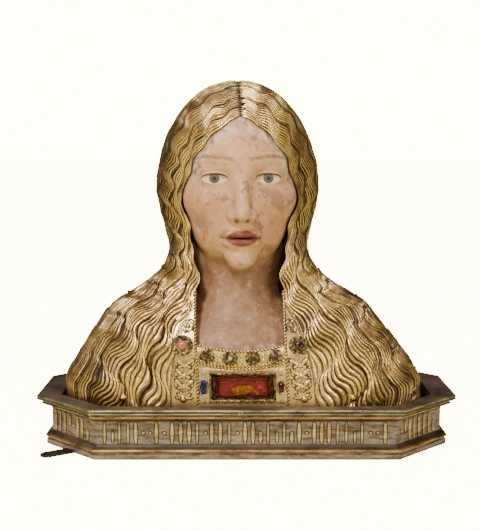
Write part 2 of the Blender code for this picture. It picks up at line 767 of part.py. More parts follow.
def make_relic_window():
    place = front_place(*window_centre())
    case = [
        (case_outline(0), -CASE_DEPTH),
        (case_outline(0), 0.0),
        (case_outline(-CASE_WALL), 0.0),
        (case_outline(-CASE_WALL), CASE_WALL - CASE_DEPTH),
    ]
    add_object("relic_case", solid_stack(case), GILT_COPPER, place)
    collet = [
        (0.0, SEAT),
        (0.0, COLLET_TALL - COLLET_CHAMFER),
        (-COLLET_CHAMFER, COLLET_TALL),
        (COLLET_CHAMFER - COLLET_WALL, COLLET_TALL),
        (-COLLET_WALL, COLLET_TALL - 2 * COLLET_CHAMFER),
        (-COLLET_WALL, SEAT),
    ]
    outline = rectangle(WINDOW_WIDTH / 2, WINDOW_TALL / 2)
    add_object("window_collet", swept_ring(outline, collet), DARK_SILVER, place)
    girdle = -COLLET_WALL - GAP
    crystal = [
        (outline(girdle), SEAT),
        (outline(girdle), SEAT + CRYSTAL_GIRDLE),
        (outline(girdle - CRYSTAL_BEVEL), CRYSTAL_TALL),
    ]
    add_object("window_crystal", solid_stack(crystal), CRYSTAL, place)


def make_set_stone(name, half, wall, place, colour):
    """A rounded stone standing in an open collet, with a gap all round."""
    outline = oval(*half)
    collet = [(0.0, SEAT), (-0.3 * wall, COLLET_RISE), (-0.8 * wall, COLLET_RISE), (-wall, SEAT)]
    add_object(name + "_setting", swept_ring(outline, collet), DARK_SILVER, place)
    girdle = oval(half[0] - wall - GAP, half[1] - wall - GAP)
    shoulder = SEAT + COLLET_RISE / 2
    rings = [(girdle(0), SEAT), (girdle(0), shoulder)]
    rings += dome_rings(girdle, min(half) - wall - GAP, shoulder, STONE_RISE * COLLET_RISE)
    add_object(name + "_stone", solid_stack(rings), colour, place, smooth_angle=60)


def make_rosette(number, place):
    """A petalled silver boss with a small stone in its eye."""
    eye = oval(ROSETTE_EYE, ROSETTE_EYE, 2 * ROSETTE_PETALS)
    floor = 0.75 * ROSETTE_TALL
    rings = [
        (flower(0), SEAT),
        (flower(0), ROSETTE_TALL / 2),
        (flower(-ROSETTE_RADIUS / 6), ROSETTE_TALL),
        (eye(0), floor),
        (eye(-ROSETTE_EYE / 6), floor),
    ]
    add_object(f"rosette_{number}", solid_stack(rings), DARK_SILVER, place)
    stone = bmesh.new()
    bmesh.ops.create_uvsphere(stone, u_segments=8, v_segments=6, radius=ROSETTE_STONE)
    bmesh.ops.scale(stone, vec=(1, 1, ROSETTE_STONE_FLAT), verts=stone.verts)
    lift = floor + ROSETTE_STONE_FLAT * ROSETTE_STONE + GAP
    bmesh.ops.translate(stone, vec=(0, 0, lift), verts=stone.verts)
    add_object(f"rosette_stone_{number}", stone, GARNET, place, smooth_angle=60)


def make_dome(name, place, radius, tall, material):
    flat = oval(radius, radius, STUD_SIDES)
    shoulder = SEAT + tall / 5
    rings = [(flat(0), SEAT), (flat(0), shoulder)] + dome_rings(flat, radius, shoulder, tall - tall / 5)
    add_object(name, solid_stack(rings), material, place, smooth_angle=60)


def make_settings():
    window_x, window_level = window_centre()
    for name, half, side, colour in (("blue", BLUE_HALF, -1, BLUE_GLASS), ("red", RED_HALF, 1, GARNET)):
        x = window_x + side * (WINDOW_WIDTH / 2 + SIDE_GAP + half[0])
        make_set_stone(name, half, SIDE_WALL, front_place(x, window_level), colour)
        for level, height in (("upper", window_level + PEARL_OUT), ("lower", window_level - PEARL_OUT)):
            place = front_place(x, max(height, PEARL_RADIUS))
            make_dome(f"{level}_pearl_by_{name}", place, PEARL_RADIUS, PEARL_RADIUS, PEARL)
    level = ROUNDEL_LEVEL * FIGURE_HEIGHT
    axis_x = section_at(level)["axis"]
    for name, half, side, colour in (("coral", CORAL_HALF, -1, CORAL), ("dark", DARK_HALF, 1, DARK_GLASS)):
        x = axis_x + side * (PANEL_HALF_WIDTH + ROUNDEL_OUT) * FIGURE_HEIGHT
        make_set_stone(name, half, ROUNDEL_WALL, front_place(x, level, BAND_RAISE), colour)
    for number in range(ROSETTES):
        offset = (number - (ROSETTES - 1) / 2) * ROSETTE_PITCH
        level = (ROSETTE_LEVEL + NECKLINE_RISE * (offset / PANEL_HALF_WIDTH) ** 2 / 2) * FIGURE_HEIGHT
        make_rosette(number + 1, front_place(axis_x + offset * FIGURE_HEIGHT, level))
    for number, share in enumerate(STUD_SPREAD, 1):
        section = section_at(STUD_LEVEL)
        place = front_place(section["axis"] + share * section["wide"], STUD_LEVEL, BAND_RAISE)
        make_dome(f"fixing_stud_{number}", place, STUD_RADIUS, STUD_TALL, GILT_COPPER)


clear_scene()
PARTS = new_collection("bust_reliquary")
CUTTERS = new_collection("cutters")
GILT_COPPER = new_material("gilt_copper", (0.78, 0.55, 0.20), 0.35, 1.0)
PAINTED_FLESH = new_material("painted_flesh", (0.62, 0.42, 0.31), 0.55, 0.0)
DARK_SILVER = new_material("dark_silver", (0.16, 0.14, 0.11), 0.45, 1.0)
OAK = new_material("oak", (0.12, 0.07, 0.04), 0.70, 0.0)
IRON = new_material("iron", (0.05, 0.045, 0.045), 0.60, 0.8)
CRYSTAL = new_material("crystal", (0.90, 0.90, 0.90), 0.05, 0.0)
CORAL = new_material("coral", (0.55, 0.16, 0.09), 0.45, 0.0)
DARK_GLASS = new_material("dark_glass", (0.04, 0.02, 0.02), 0.20, 0.0)
BLUE_GLASS = new_material("blue_glass", (0.06, 0.10, 0.30), 0.15, 0.0)
GARNET = new_material("garnet", (0.16, 0.01, 0.03), 0.15, 0.0)
PEARL = new_material("pearl", (0.62, 0.58, 0.52), 0.35, 0.0)

make_base_frame()
make_bottom_board()
make_iron_tongue()
make_hair_and_shoulders()
make_face_and_neck()
make_relic_window()
make_settings()
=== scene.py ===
"""Bust reliquary: gilt chased hair, a painted face, set stones and a relic window on a moulded base.

Run as a script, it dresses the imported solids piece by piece. Metres, +Z up, the face towards -Y.
"""

import json
import math

import bmesh
import bpy
import numpy as np
from mathutils import Matrix, Vector

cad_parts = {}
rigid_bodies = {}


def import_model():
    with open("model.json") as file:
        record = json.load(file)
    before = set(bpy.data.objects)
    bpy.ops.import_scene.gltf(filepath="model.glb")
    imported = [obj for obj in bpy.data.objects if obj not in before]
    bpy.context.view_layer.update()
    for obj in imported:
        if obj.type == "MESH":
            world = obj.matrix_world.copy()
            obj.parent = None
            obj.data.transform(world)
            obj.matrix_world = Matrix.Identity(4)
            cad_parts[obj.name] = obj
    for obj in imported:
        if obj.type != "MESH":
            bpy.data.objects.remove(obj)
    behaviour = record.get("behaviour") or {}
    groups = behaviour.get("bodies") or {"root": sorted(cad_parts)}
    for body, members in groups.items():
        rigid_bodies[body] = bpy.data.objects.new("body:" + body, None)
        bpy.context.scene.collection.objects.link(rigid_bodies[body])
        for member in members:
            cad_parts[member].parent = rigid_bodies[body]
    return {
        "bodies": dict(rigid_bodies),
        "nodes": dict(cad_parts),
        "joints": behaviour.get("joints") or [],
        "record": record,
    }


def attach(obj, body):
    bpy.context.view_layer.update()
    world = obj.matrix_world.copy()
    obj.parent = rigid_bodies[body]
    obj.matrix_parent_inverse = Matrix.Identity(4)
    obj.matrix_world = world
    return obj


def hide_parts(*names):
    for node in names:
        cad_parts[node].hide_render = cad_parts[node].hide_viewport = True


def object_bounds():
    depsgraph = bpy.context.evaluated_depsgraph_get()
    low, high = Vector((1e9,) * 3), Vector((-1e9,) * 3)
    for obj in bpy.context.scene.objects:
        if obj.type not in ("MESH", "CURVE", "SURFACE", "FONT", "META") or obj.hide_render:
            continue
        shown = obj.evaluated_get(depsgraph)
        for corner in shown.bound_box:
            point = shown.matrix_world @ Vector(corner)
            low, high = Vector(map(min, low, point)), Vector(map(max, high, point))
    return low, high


bl_info = {
    "name": "Bust Reliquary",
    "version": (1, 0, 0),
    "blender": (4, 5, 0),
    "location": "3D Viewport > Sidebar > Reliquary",
    "description": "Dresses the solids of a gilt bust reliquary with its fine forms and finishes",
    "category": "Object",
}

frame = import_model()
CAD_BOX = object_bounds()
SEED = 11

# The bust's form, with the same values as its solids
BASE_WIDTH = 0.500
BASE_DEPTH = 0.260
BASE_FRONT_LENGTH = 0.356
BASE_SIDE_LENGTH = 0.109
BASE_HEIGHT = 0.060
LEDGE_WIDTH = 0.028
FRIEZE_SETBACK = 0.0175
BOARD_THICKNESS = 0.012
FIGURE_HEIGHT = 0.3733
FOOT_SIDE_GAP = 0.0065
FOOT_FRONT_GAP = 0.0015
HAIR_HALF_WIDTH = 0.2625
EARS = 0.643
HEAD_HEIGHT = 0.584
HEAD_MODEL_HEIGHT = 218
EYE_LINE = 0.691
HEAD_TURN = math.radians(3.5)
NECK_FOOT = 0.139
PANEL_HALF_WIDTH = 0.1347
NECKLINE = 0.161
NECKLINE_RISE = 0.019
HAIRLINE_TOP = math.radians(-48.5)
HAIRLINE_TEMPLE = math.radians(-36)
HAIRLINE_DIP = math.radians(6.5)
HUGS_SKIN_FROM = 0.44
HUGS_SKIN_ABOVE = 0.53
HAIR_ROLL = 0.24
SHOULDERS = 0.271
LOWEST = BOARD_THICKNESS + 0.0003 - BASE_HEIGHT
WINDOW_X = -0.0120 * FIGURE_HEIGHT
WINDOW_LEVEL = 0.0522 * FIGURE_HEIGHT
PAPER_GLOW = 16.0
WELD = 1e-7

# height, spread, front, back, square, axis_x and hair edge, from the rim of the base up to the ears
STATIONS = (
    (0.000, 1.000, 0.269, 0.269, 3.0, -0.0094, 0.230),
    (0.046, 0.987, 0.264, 0.268, 3.0, -0.0113, 0.228),
    (0.110, 0.875, 0.254, 0.262, 2.9, -0.0134, 0.220),
    (0.161, 0.763, 0.247, 0.257, 2.8, -0.0174, 0.209),
    (0.234, 0.594, 0.217, 0.249, 2.6, -0.0209, 0.187),
    (0.271, 0.500, 0.198, 0.244, 2.5, -0.0214, 0.166),
    (0.324, 0.247, 0.174, 0.236, 2.3, -0.0225, 0.137),
    (0.361, 0.078, 0.163, 0.233, 2.2, -0.0230, 0.129),
    (0.397, -0.035, 0.163, 0.233, 2.1, -0.0236, 0.129),
    (0.460, -0.116, 0.179, 0.244, 2.0, -0.0254, 0.153),
    (0.532, -0.076, 0.209, 0.268, 2.0, -0.0268, 0.185),
    (0.597, -0.027, 0.237, 0.289, 2.0, -0.0276, 0.206),
    (0.643, 0.000, 0.257, 0.300, 2.0, -0.0281, 0.212),
)

# The head's blended forms in head millimetres: name, from, to, radii, softness, and 1 to add or -1 to cut
HEAD_FORMS = (
    ("cranium", (0, -8, 18), None, (72, 91, 86), 0, 1),
    ("mid_face", (0, 22, -28), None, (62, 60, 78), 14, 1),
    ("cheekbone", (41, 43, -24), None, (23, 27, 18), 20, 1),
    ("jaw", (0, 22, -64), None, (50, 52, 40), 14, 1),
    ("chin", (0, 66, -93), None, (17, 16, 14.5), 15, 1),
    ("muzzle", (0, 60, -62), None, (28, 24, 24), 14, 1),
    ("brow", (8, 68, 15), (41, 54, 18), (12, 9), 14, 1),
    ("eye_socket", (31, 92, -1), None, (18, 19, 12.5), 13, -1),
    ("bridge", (0, 71, 10), (0, 92, -36), (8.5, 8), 9, 1),
    ("nose_tip", (0, 94, -40), None, (10, 10.5, 8.5), 6, 1),
    ("nose_wing", (11.5, 85, -42.5), None, (6.5, 9.5, 6.5), 4, 1),
    ("nostril", (6.2, 91, -49.5), None, (3.2, 6, 2.6), 2, -1),
    ("lids", (31, 60.5, -0.5), None, (17, 16, 14), 5, 1),
    ("eye_opening", (31, 79, -1), None, (14.2, 12, 5.4), 1.5, -1),
    ("eyeball", (31, 60.5, -1), None, (14, 14, 13.5), 0.6, 1),
    ("upper_lip", (9, 78.5, -63.4), None, (14, 9.6, 5.4), 4, 1),
    ("lip_middle", (0, 81, -64.4), None, (7, 9.5, 5.4), 3, 1),
    ("lower_lip", (6, 77.5, -74.3), None, (15.5, 10.8, 6.4), 4, 1),
    ("philtrum", (0, 99, -56), None, (3.4, 12, 6.5), 4, -1),
    ("under_lip", (0, 97, -85), None, (17, 13, 4.8), 9, -1),
    ("mouth_line", (0, 92, -68.8), None, (23, 12, 1.0), 1.6, -1),
    ("mouth_corner", (23.5, 78, -68.8), None, (3, 6, 2.4), 4, -1),
)
NECK_FORMS = (
    ("neck", (0, -12, -50), (0, 2, -150), (51, 52), 0, 1),
    ("breast", (0, 17, -214), None, (112, 73, 66), 26, 1),
    ("neck_cord", (44, -8, -84), (11, 46, -184), (9, 7), 16, 1),
)
CHIN_TO_NECK = 9
RAY_FAN = (
    (0.0, 25, 90),
    (0.14, 25, 20),
    (0.20, 20, 0),
    (0.74, -80, 0),
    (0.80, -80, -30),
    (0.85, -84, -42),
    (0.89, -119, -20),
    (0.93, -148, 0),
    (1.0, -206, 0),
)
FACE_CROWDING = 0.68
FAR_OUT = 260.0
MARCH_STEP = 0.7


# Colours, nodes and meshes


def linear(code):
    """An sRGB hex colour as the linear colour that the shaders take."""
    shares = [int(code[i : i + 2], 16) / 255 for i in (1, 3, 5)]
    return tuple(c / 12.92 if c <= 0.04045 else ((c + 0.055) / 1.055) ** 2.4 for c in shares) + (1.0,)


def set_inputs(tree, node, inputs):
    """Sets a node's inputs: each is a value, or a socket to link from."""
    for name, value in inputs.items():
        if isinstance(value, bpy.types.NodeSocket):
            tree.links.new(value, node.inputs[name])
        else:
            node.inputs[name].default_value = value


def add_node(tree, kind, inputs=None, **settings):
    node = tree.nodes.new(kind)
    for name, value in settings.items():
        setattr(node, name, value)
    set_inputs(tree, node, inputs or {})
    return node


def as_linear(colour):
    """A colour as a shader takes it, from sRGB hex; a linear colour or a socket stays as it is."""
    return linear(colour) if isinstance(colour, str) else colour


def ramp_colour(tree, share, *stops):
    """The colour at a share of a ramp, whose stops are places and colours."""
    node = add_node(tree, "ShaderNodeValToRGB", {"Fac": share})
    elements = node.color_ramp.elements
    while len(elements) < len(stops):
        elements.new(1.0)
    for element, (place, colour) in zip(elements, stops):
        element.position = place
        element.color = as_linear(colour)
    return node.outputs["Color"]


def covered(tree, below, colour, amount):
    """A colour with another laid over it."""
    inputs = {0: amount, 6: below, 7: as_linear(colour)}
    return add_node(tree, "ShaderNodeMix", inputs, data_type="RGBA").outputs[2]


def remap(tree, value, low, high, to_low=0.0, to_high=1.0):
    """A value's way from low to high as a way from to_low to to_high, and no further."""
    inputs = {"Value": value, "From Min": low, "From Max": high, "To Min": to_low, "To Max": to_high}
    return add_node(tree, "ShaderNodeMapRange", inputs).outputs[0]


def calculated(tree, operation, *values, clamp=False):
    inputs = dict(enumerate(values))
    return add_node(tree, "ShaderNodeMath", inputs, operation=operation, use_clamp=clamp).outputs[0]


def attribute(tree, name):
    return add_node(tree, "ShaderNodeAttribute", attribute_name=name).outputs["Fac"]


def object_place(tree):
    return add_node(tree, "ShaderNodeTexCoord").outputs["Object"]


def stretched_place(tree, scale):
    inputs = {"Vector": object_place(tree), "Scale": scale}
    return add_node(tree, "ShaderNodeMapping", inputs).outputs[0]


def bump(tree, height, strength, depth):
    """The normal of a surface that a height roughens by up to depth metres."""
    inputs = {"Height": height, "Strength": strength, "Distance": depth}
    return add_node(tree, "ShaderNodeBump", inputs).outputs["Normal"]


def new_material(name):
    """An empty material: its node tree and its Principled shader."""
    material = bpy.data.materials.new(name)
    material.use_nodes = True
    return material, material.node_tree, material.node_tree.nodes["Principled BSDF"]


def bent_grid(points, fields=None):
    """A grid of faces bent to an array of points, row by row, with named numbers kept at each point."""
    rows, columns = points.shape[0] - 1, points.shape[1] - 1
    bm = bmesh.new()
    bm.loops.layers.uv.new("UVMap")
    bmesh.ops.create_grid(bm, x_segments=columns, y_segments=rows, size=0.5, calc_uvs=True)
    for vert, spot in zip(bm.verts, points.reshape(-1, 3)):
        vert.co = spot
    for name, values in (fields or {}).items():
        layer = bm.verts.layers.float.new(name)
        for vert, value in zip(bm.verts, np.broadcast_to(values, points.shape[:2]).ravel()):
            vert[layer] = value
    return bm


def ring_solid(outline_at, profile, closed=True):
    """Carries a profile of (outset, height) points round an outline; closed joins its two ends."""
    rings = []
    for outset, height in list(profile) + ([profile[0]] if closed else []):
        corners = outline_at(outset)
        rings.append([(x, y, height) for x, y in corners + corners[:1]])
    bm = bent_grid(np.array(rings))
    bmesh.ops.remove_doubles(bm, verts=bm.verts, dist=1e-6)
    if not closed:
        bmesh.ops.holes_fill(bm, edges=[e for e in bm.edges if e.is_boundary])
    return bm


def joined(forms):
    """Several bmeshes as one."""
    whole = bmesh.new()
    for bm in forms:
        part = bpy.data.meshes.new("part")
        bm.to_mesh(part)
        bm.free()
        whole.from_mesh(part)
        bpy.data.meshes.remove(part)
    return whole


def placed(bm, place):
    bmesh.ops.transform(bm, matrix=place, verts=bm.verts)
    return bm


def closed_tube(points, fields=None):
    """Rings of points as a tube, welded along its seam and closed at its open ends."""
    bm = bent_grid(points, fields)
    bmesh.ops.remove_doubles(bm, verts=bm.verts, dist=WELD)
    bmesh.ops.holes_fill(bm, edges=[e for e in bm.edges if e.is_boundary])
    return bm


def add_piece(name, bm, materials, replaces=(), smooth_angle=40, recalculate=True):
    """Turns a bmesh into a piece that rides on the body, in the place of the CAD nodes that it replaces."""
    if recalculate:
        bmesh.ops.recalc_face_normals(bm, faces=bm.faces)
    mesh = bpy.data.meshes.new(name)
    bm.to_mesh(mesh)
    bm.free()
    mesh.shade_smooth()
    mesh.set_sharp_from_angle(angle=math.radians(smooth_angle))
    for material in materials if isinstance(materials, (list, tuple)) else [materials]:
        mesh.materials.append(material)
    piece = bpy.data.objects.new(name, mesh)
    bpy.context.scene.collection.objects.link(piece)
    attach(piece, "root")
    if replaces:
        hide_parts(*replaces)
    return piece


def smoothstep(low, high, values):
    share = np.clip((values - low) / (high - low), 0, 1)
    return share * share * (3 - 2 * share)


def wander(places, seed, waves=4):
    """A smooth line of chance between about -1 and 1 over places, from a few sines."""
    chance = np.random.default_rng(seed)
    total = 0
    for turn in range(1, waves + 1):
        rate, start = chance.uniform(0.7, 1.3), chance.uniform(0, math.tau)
        total = total + np.sin(places * turn * rate + start) / turn**0.7
    return total / 2


def read_table(table, row, column):
    """Values of a table between its points, at rows and columns with fractions."""
    low = np.clip(row.astype(int), 0, table.shape[0] - 2)
    left = column.astype(int)
    part_r, part_c = row - low, column - left
    upper = table[low, left] * (1 - part_c) + table[low, left + 1] * part_c
    lower = table[low + 1, left] * (1 - part_c) + table[low + 1, left + 1] * part_c
    return upper * (1 - part_r) + lower * part_r


# The bust's smooth form


def smooth_curve(xs, ys, at):
    """Values on a smooth curve through the given points."""
    slopes = np.gradient(ys, xs)
    i = np.clip(np.searchsorted(xs, at) - 1, 0, len(xs) - 2)
    step = xs[i + 1] - xs[i]
    u = np.clip((at - xs[i]) / step, 0, 1)
    start = (1 + 2 * u) * (1 - u) ** 2 * ys[i] + u * (1 - u) ** 2 * step * slopes[i]
    return start + u**2 * (3 - 2 * u) * ys[i + 1] - u**2 * (1 - u) * step * slopes[i + 1]


def section_at(height):
    """The bust's plan section at heights above the rim, in metres."""
    level, *columns = (np.array(column) for column in zip(*STATIONS))
    at = np.clip(np.asarray(height, float) / FIGURE_HEIGHT, 0, EARS)
    spread, front, back, square, axis_x, edge = (smooth_curve(level, column, at) for column in columns)
    foot_wide = BASE_WIDTH / 2 - LEDGE_WIDTH - FOOT_SIDE_GAP
    foot_deep = BASE_DEPTH / 2 - LEDGE_WIDTH - FOOT_FRONT_GAP
    hair_wide = HAIR_HALF_WIDTH * FIGURE_HEIGHT
    near_foot = np.maximum(1 - at / SHOULDERS, 0)
    fit = (1 + (foot_deep / (columns[1][0] * FIGURE_HEIGHT) - 1) * near_foot) * FIGURE_HEIGHT
    return {
        "wide": hair_wide + (foot_wide - hair_wide) * spread,
        "front": front * fit,
        "back": back * fit,
        "square": square,
        "axis": axis_x * FIGURE_HEIGHT,
        "edge": edge * FIGURE_HEIGHT,
    }


def fall_height(fall):
    """Height above the rim of a share of the fall: 0 to 1 over the dome, 1 to 2 from the ears down."""
    highest = EARS * FIGURE_HEIGHT
    return highest + (LOWEST - highest) * np.maximum(fall - 1, 0)


def hair_edge_angle(fall):
    section = section_at(fall_height(fall))
    share = np.clip(fall, 0, 1)
    dip = HAIRLINE_DIP * np.sin(math.pi * share)
    on_dome = HAIRLINE_TOP + (HAIRLINE_TEMPLE - HAIRLINE_TOP) * share**1.6 - dip
    below = -np.arccos(np.clip(section["edge"] / section["wide"], 0, 1) ** (section["square"] / 2))
    return np.where(fall < 1, on_dome, below)


def round_point(angle, fall):
    """Points of the smooth bust, its axis on x 0: angle -90 degrees is the front and 90 the back."""
    section = section_at(fall_height(fall))
    dome = math.pi / 2 * (1 - np.minimum(fall, 1))
    lift = (1 - EARS) * FIGURE_HEIGHT * np.sin(dome) * np.abs(np.cos(angle))
    depth = np.where(np.sin(angle) > 0, section["back"], section["front"])
    power = 2 / section["square"]
    across = np.sign(np.cos(angle)) * np.abs(np.cos(angle)) ** power * section["wide"] * np.cos(dome)
    along = np.sign(np.sin(angle)) * np.abs(np.sin(angle)) ** power * depth
    return np.stack([across, along, BASE_HEIGHT + fall_height(fall) + lift], -1)


def ring_angle(turn, fall):
    """Angle of a share of the turn round the hair: 0 is the right edge, 1 the back and 2 the left edge."""
    edge = hair_edge_angle(fall)
    near = edge + (math.pi / 2 - edge) * np.where(turn > 1, 2 - turn, turn)
    return np.where(turn > 1, math.pi - near, near)


def lean(points):
    """Moves points of the symmetrical bust on to its leaning axis, and turns the head a little."""
    height = np.maximum(points[..., 2] - BASE_HEIGHT, 0)
    turn = HEAD_TURN * np.minimum(height / (EARS * FIGURE_HEIGHT), 1) ** 3
    x = points[..., 0] * np.cos(turn) - points[..., 1] * np.sin(turn)
    y = points[..., 0] * np.sin(turn) + points[..., 1] * np.cos(turn)
    return np.stack([x + section_at(height)["axis"], y, points[..., 2]], -1)


def front_depth(x, height):
    """How far the smooth bust stands out in front at a place."""
    section = section_at(height)
    share = np.minimum(np.abs(x - section["axis"]) / section["wide"], 1)
    return section["front"] * (1 - share ** section["square"]) ** (1 / section["square"])


def front_place(x, height, lift=0.0):
    """The frame of a piece on the breast: its origin on the surface, its Z straight out of it."""
    step = FIGURE_HEIGHT / 100
    low = max(height - step, 0)
    rise = (front_depth(x, height + step) - front_depth(x, low)) / (height + step - low)
    side = (front_depth(x + step, height) - front_depth(x - step, height)) / (2 * step)
    normal = Vector((-side, -1, -rise)).normalized()
    across = Vector((0, 0, 1)).cross(normal).normalized()
    turn = Matrix((across, normal.cross(across), normal)).transposed().to_4x4()
    spot = Vector((x, -front_depth(x, height), BASE_HEIGHT + height))
    return Matrix.Translation(spot + normal * lift) @ turn


# The head's form


def egg(points, middle, radii):
    scaled = (points - np.array(middle)) / np.array(radii)
    near = np.linalg.norm(scaled, axis=1)
    slope = np.linalg.norm(scaled / np.array(radii), axis=1)
    return near * (near - 1) / np.maximum(slope, 1e-9)


def rod(points, start, end, radii):
    line = np.array(end) - np.array(start)
    share = np.clip((points - np.array(start)) @ line / (line @ line), 0, 1)
    nearest = np.array(start) + share[:, None] * line
    return np.linalg.norm(points - nearest, axis=1) - (radii[0] + (radii[1] - radii[0]) * share)


def blend(a, b, softness):
    """The nearer of two distances, rounded where they are alike."""
    if softness == 0:
        return np.minimum(a, b)
    share = np.clip(0.5 + 0.5 * (b - a) / softness, 0, 1)
    return b * (1 - share) + a * share - softness * share * (1 - share)


def joined_forms(points, forms):
    found = np.full(len(points), FAR_OUT)
    for _, start, end, radii, softness, sign in forms:
        form = rod(points, start, end, radii) if end else egg(points, start, radii)
        found = blend(found, form, softness) if sign > 0 else -blend(-found, form, softness)
    return found


def head_distance(points):
    """Distance from the head's surface in head millimetres, less than 0 inside. Both sides are alike."""
    one_side = np.abs(points) * (1, 0, 0) + points * (0, 1, 1)
    return blend(joined_forms(one_side, HEAD_FORMS), joined_forms(one_side, NECK_FORMS), CHIN_TO_NECK)


def march_to_skin(origin, ray, steps):
    """How far along each ray the skin lies, found from outside."""
    reach = np.full(len(origin), FAR_OUT)
    for _ in range(steps):
        reach -= MARCH_STEP * head_distance(origin + reach[:, None] * ray)
        reach = np.maximum(reach, 1.0)
    return reach


def head_place():
    """From head millimetres to the room: the eye line, the turn of the head and the scale."""
    height = EYE_LINE * FIGURE_HEIGHT
    place = Matrix.Translation((section_at(height)["axis"], 0, BASE_HEIGHT + height))
    scale = HEAD_HEIGHT * FIGURE_HEIGHT / HEAD_MODEL_HEIGHT
    return place @ Matrix.Rotation(HEAD_TURN, 4, "Z") @ Matrix.Scale(scale, 4)


def in_head(points):
    """Points of the room in head millimetres, as x, forward and up."""
    to_head = np.array(head_place().inverted())
    return (points @ to_head[:3, :3].T + to_head[:3, 3]) * (1, -1, 1)


def hugging(lift, turn, fall, points):
    """Draws the hair's inner edge in on to the skin, so that it rolls up from cheek and brow."""
    shares = np.linspace(0, HAIR_ROLL, 9)
    falls = np.linspace(0, 1.3, 40)
    table = round_point(ring_angle(shares[None, :], falls[:, None]), falls[:, None]).reshape(-1, 3)
    level = in_head(table + np.array((float(section_at(EYE_LINE * FIGURE_HEIGHT)["axis"]), 0, 0)))
    axis = level * (0, 0, 1)
    out = level - axis
    ray = out / np.maximum(np.linalg.norm(out, axis=1), 1)[:, None]
    skin = march_to_skin(axis, ray, 90) * HEAD_HEIGHT * FIGURE_HEIGHT / HEAD_MODEL_HEIGHT + lift
    slack = (1 - skin / np.maximum(np.hypot(table[:, 0], table[:, 1]), 1e-4)).reshape(len(falls), len(shares))
    share = np.clip(np.minimum(turn, 2 - turn), 0, None)
    row = np.clip(fall / falls[-1] * (len(falls) - 1), 0, len(falls) - 1.001)
    column = np.clip(share / HAIR_ROLL * (len(shares) - 1), 0, len(shares) - 1.001)
    pull = read_table(slack, row, column)
    roll = np.clip(1 - share / HAIR_ROLL, 0, 1)
    level = fall_height(fall) / FIGURE_HEIGHT
    high = np.clip((level - HUGS_SKIN_FROM) / (HUGS_SKIN_ABOVE - HUGS_SKIN_FROM), 0, 1)
    scale = 1 - np.clip(pull * roll**2 * (3 - 2 * roll) * high, 0, 1)
    return points * np.stack([scale, scale, np.ones_like(scale)], -1)


# Sizes and colours that a user may change


def distance_property(name, description, default):
    return bpy.props.FloatProperty(name=name, description=description, default=default, subtype="DISTANCE")


def colour_property(name, description, code):
    return bpy.props.FloatVectorProperty(
        name=name, description=description, subtype="COLOR", size=4, min=0, max=1, default=linear(code)
    )


class HairSettings(bpy.types.PropertyGroup):
    """Sizes of the chased hair"""

    strands: bpy.props.IntProperty(
        name="Strands", description="Ridges from the face to the back on each side", default=84, min=20, max=90
    )
    crown_wave: distance_property("Crown wave", "Length of a wave over the crown", 0.034)
    shoulder_wave: distance_property("Shoulder wave", "Length of a wave on the shoulders", 0.056)
    crown_swing: distance_property("Crown swing", "Sideways swing of the waves over the crown", 0.0040)
    shoulder_swing: distance_property("Shoulder swing", "Sideways swing on the shoulders", 0.0082)
    ridge: bpy.props.FloatProperty(
        name="Ridge height", description="Height of a ridge as a share of its width", default=0.46, subtype="FACTOR"
    )
    lock_depth: distance_property("Lock depth", "Depth of the furrows between locks", 0.0030)
    skin_lift: distance_property("Lift", "How far the hair's edge stands off the skin", 0.0014)
    gold: colour_property("Gold", "Rubbed gilding", "#F4D692")
    # the colour of the dirt and of the painted shade deep in the hair's grooves
    grime: colour_property("Grime", "Dirt in the hollows", "#2B1A12")


class FaceSettings(bpy.types.PropertyGroup):
    """Sizes and colours of the painted face"""

    columns: bpy.props.IntProperty(name="Columns", description="Facets round the head", default=190, min=28)
    rows: bpy.props.IntProperty(name="Rows", description="Facets from the crown down", default=230, min=36)
    flesh: colour_property("Flesh", "Flesh paint", "#C79A78")
    lips: colour_property("Lips", "Lip paint", "#64231C")
    iris: colour_property("Iris", "Iris paint", "#4B4F50")


class BreastSettings(bpy.types.PropertyGroup):
    """Sizes of the breast's ornament"""

    band_rise: distance_property("Band rise", "How far the bands stand out", 0.0012)
    relief: distance_property("Relief", "Height of the leaves on the bands", 0.0010)
    rope: distance_property("Rope", "Radius of the twisted borders", 0.0015)


class WindowSettings(bpy.types.PropertyGroup):
    """Sizes of the relic window"""

    width: distance_property("Width", "Outer width of the frame", 0.0765)
    tall: distance_property("Height", "Outer height of the frame", 0.033)
    wall: distance_property("Frame", "Width of the frame", 0.0028)
    silk: colour_property("Silk", "Silk behind the relic", "#7C0A14")


class BaseSettings(bpy.types.PropertyGroup):
    """Sizes of the base"""

    stroke_tall: distance_property("Stroke height", "Height of the raised strokes", 0.0240)
    stroke_wide: distance_property("Stroke width", "Width of the raised strokes", 0.0030)
    dent: distance_property("Dents", "How far the old mouldings wander", 0.00035)


class StageSettings(bpy.types.PropertyGroup):
    """Camera and light"""

    lens: bpy.props.FloatProperty(name="Lens", description="Focal length in millimetres", default=70.3)
    paper: colour_property("Paper", "Floor and background", "#FFFFC4")
    key: bpy.props.FloatProperty(name="Key light", description="Power of the key light", default=58.0, unit="POWER")


# Materials


def patches(tree, scale_mm, detail=4.0, rough=0.55, where=None):
    """Cloudy noise in object space whose blotches are about scale_mm across."""
    where = where or object_place(tree)
    inputs = {"Vector": where, "Scale": 1000 / scale_mm, "Detail": detail, "Roughness": rough}
    return add_node(tree, "ShaderNodeTexNoise", inputs).outputs["Fac"]


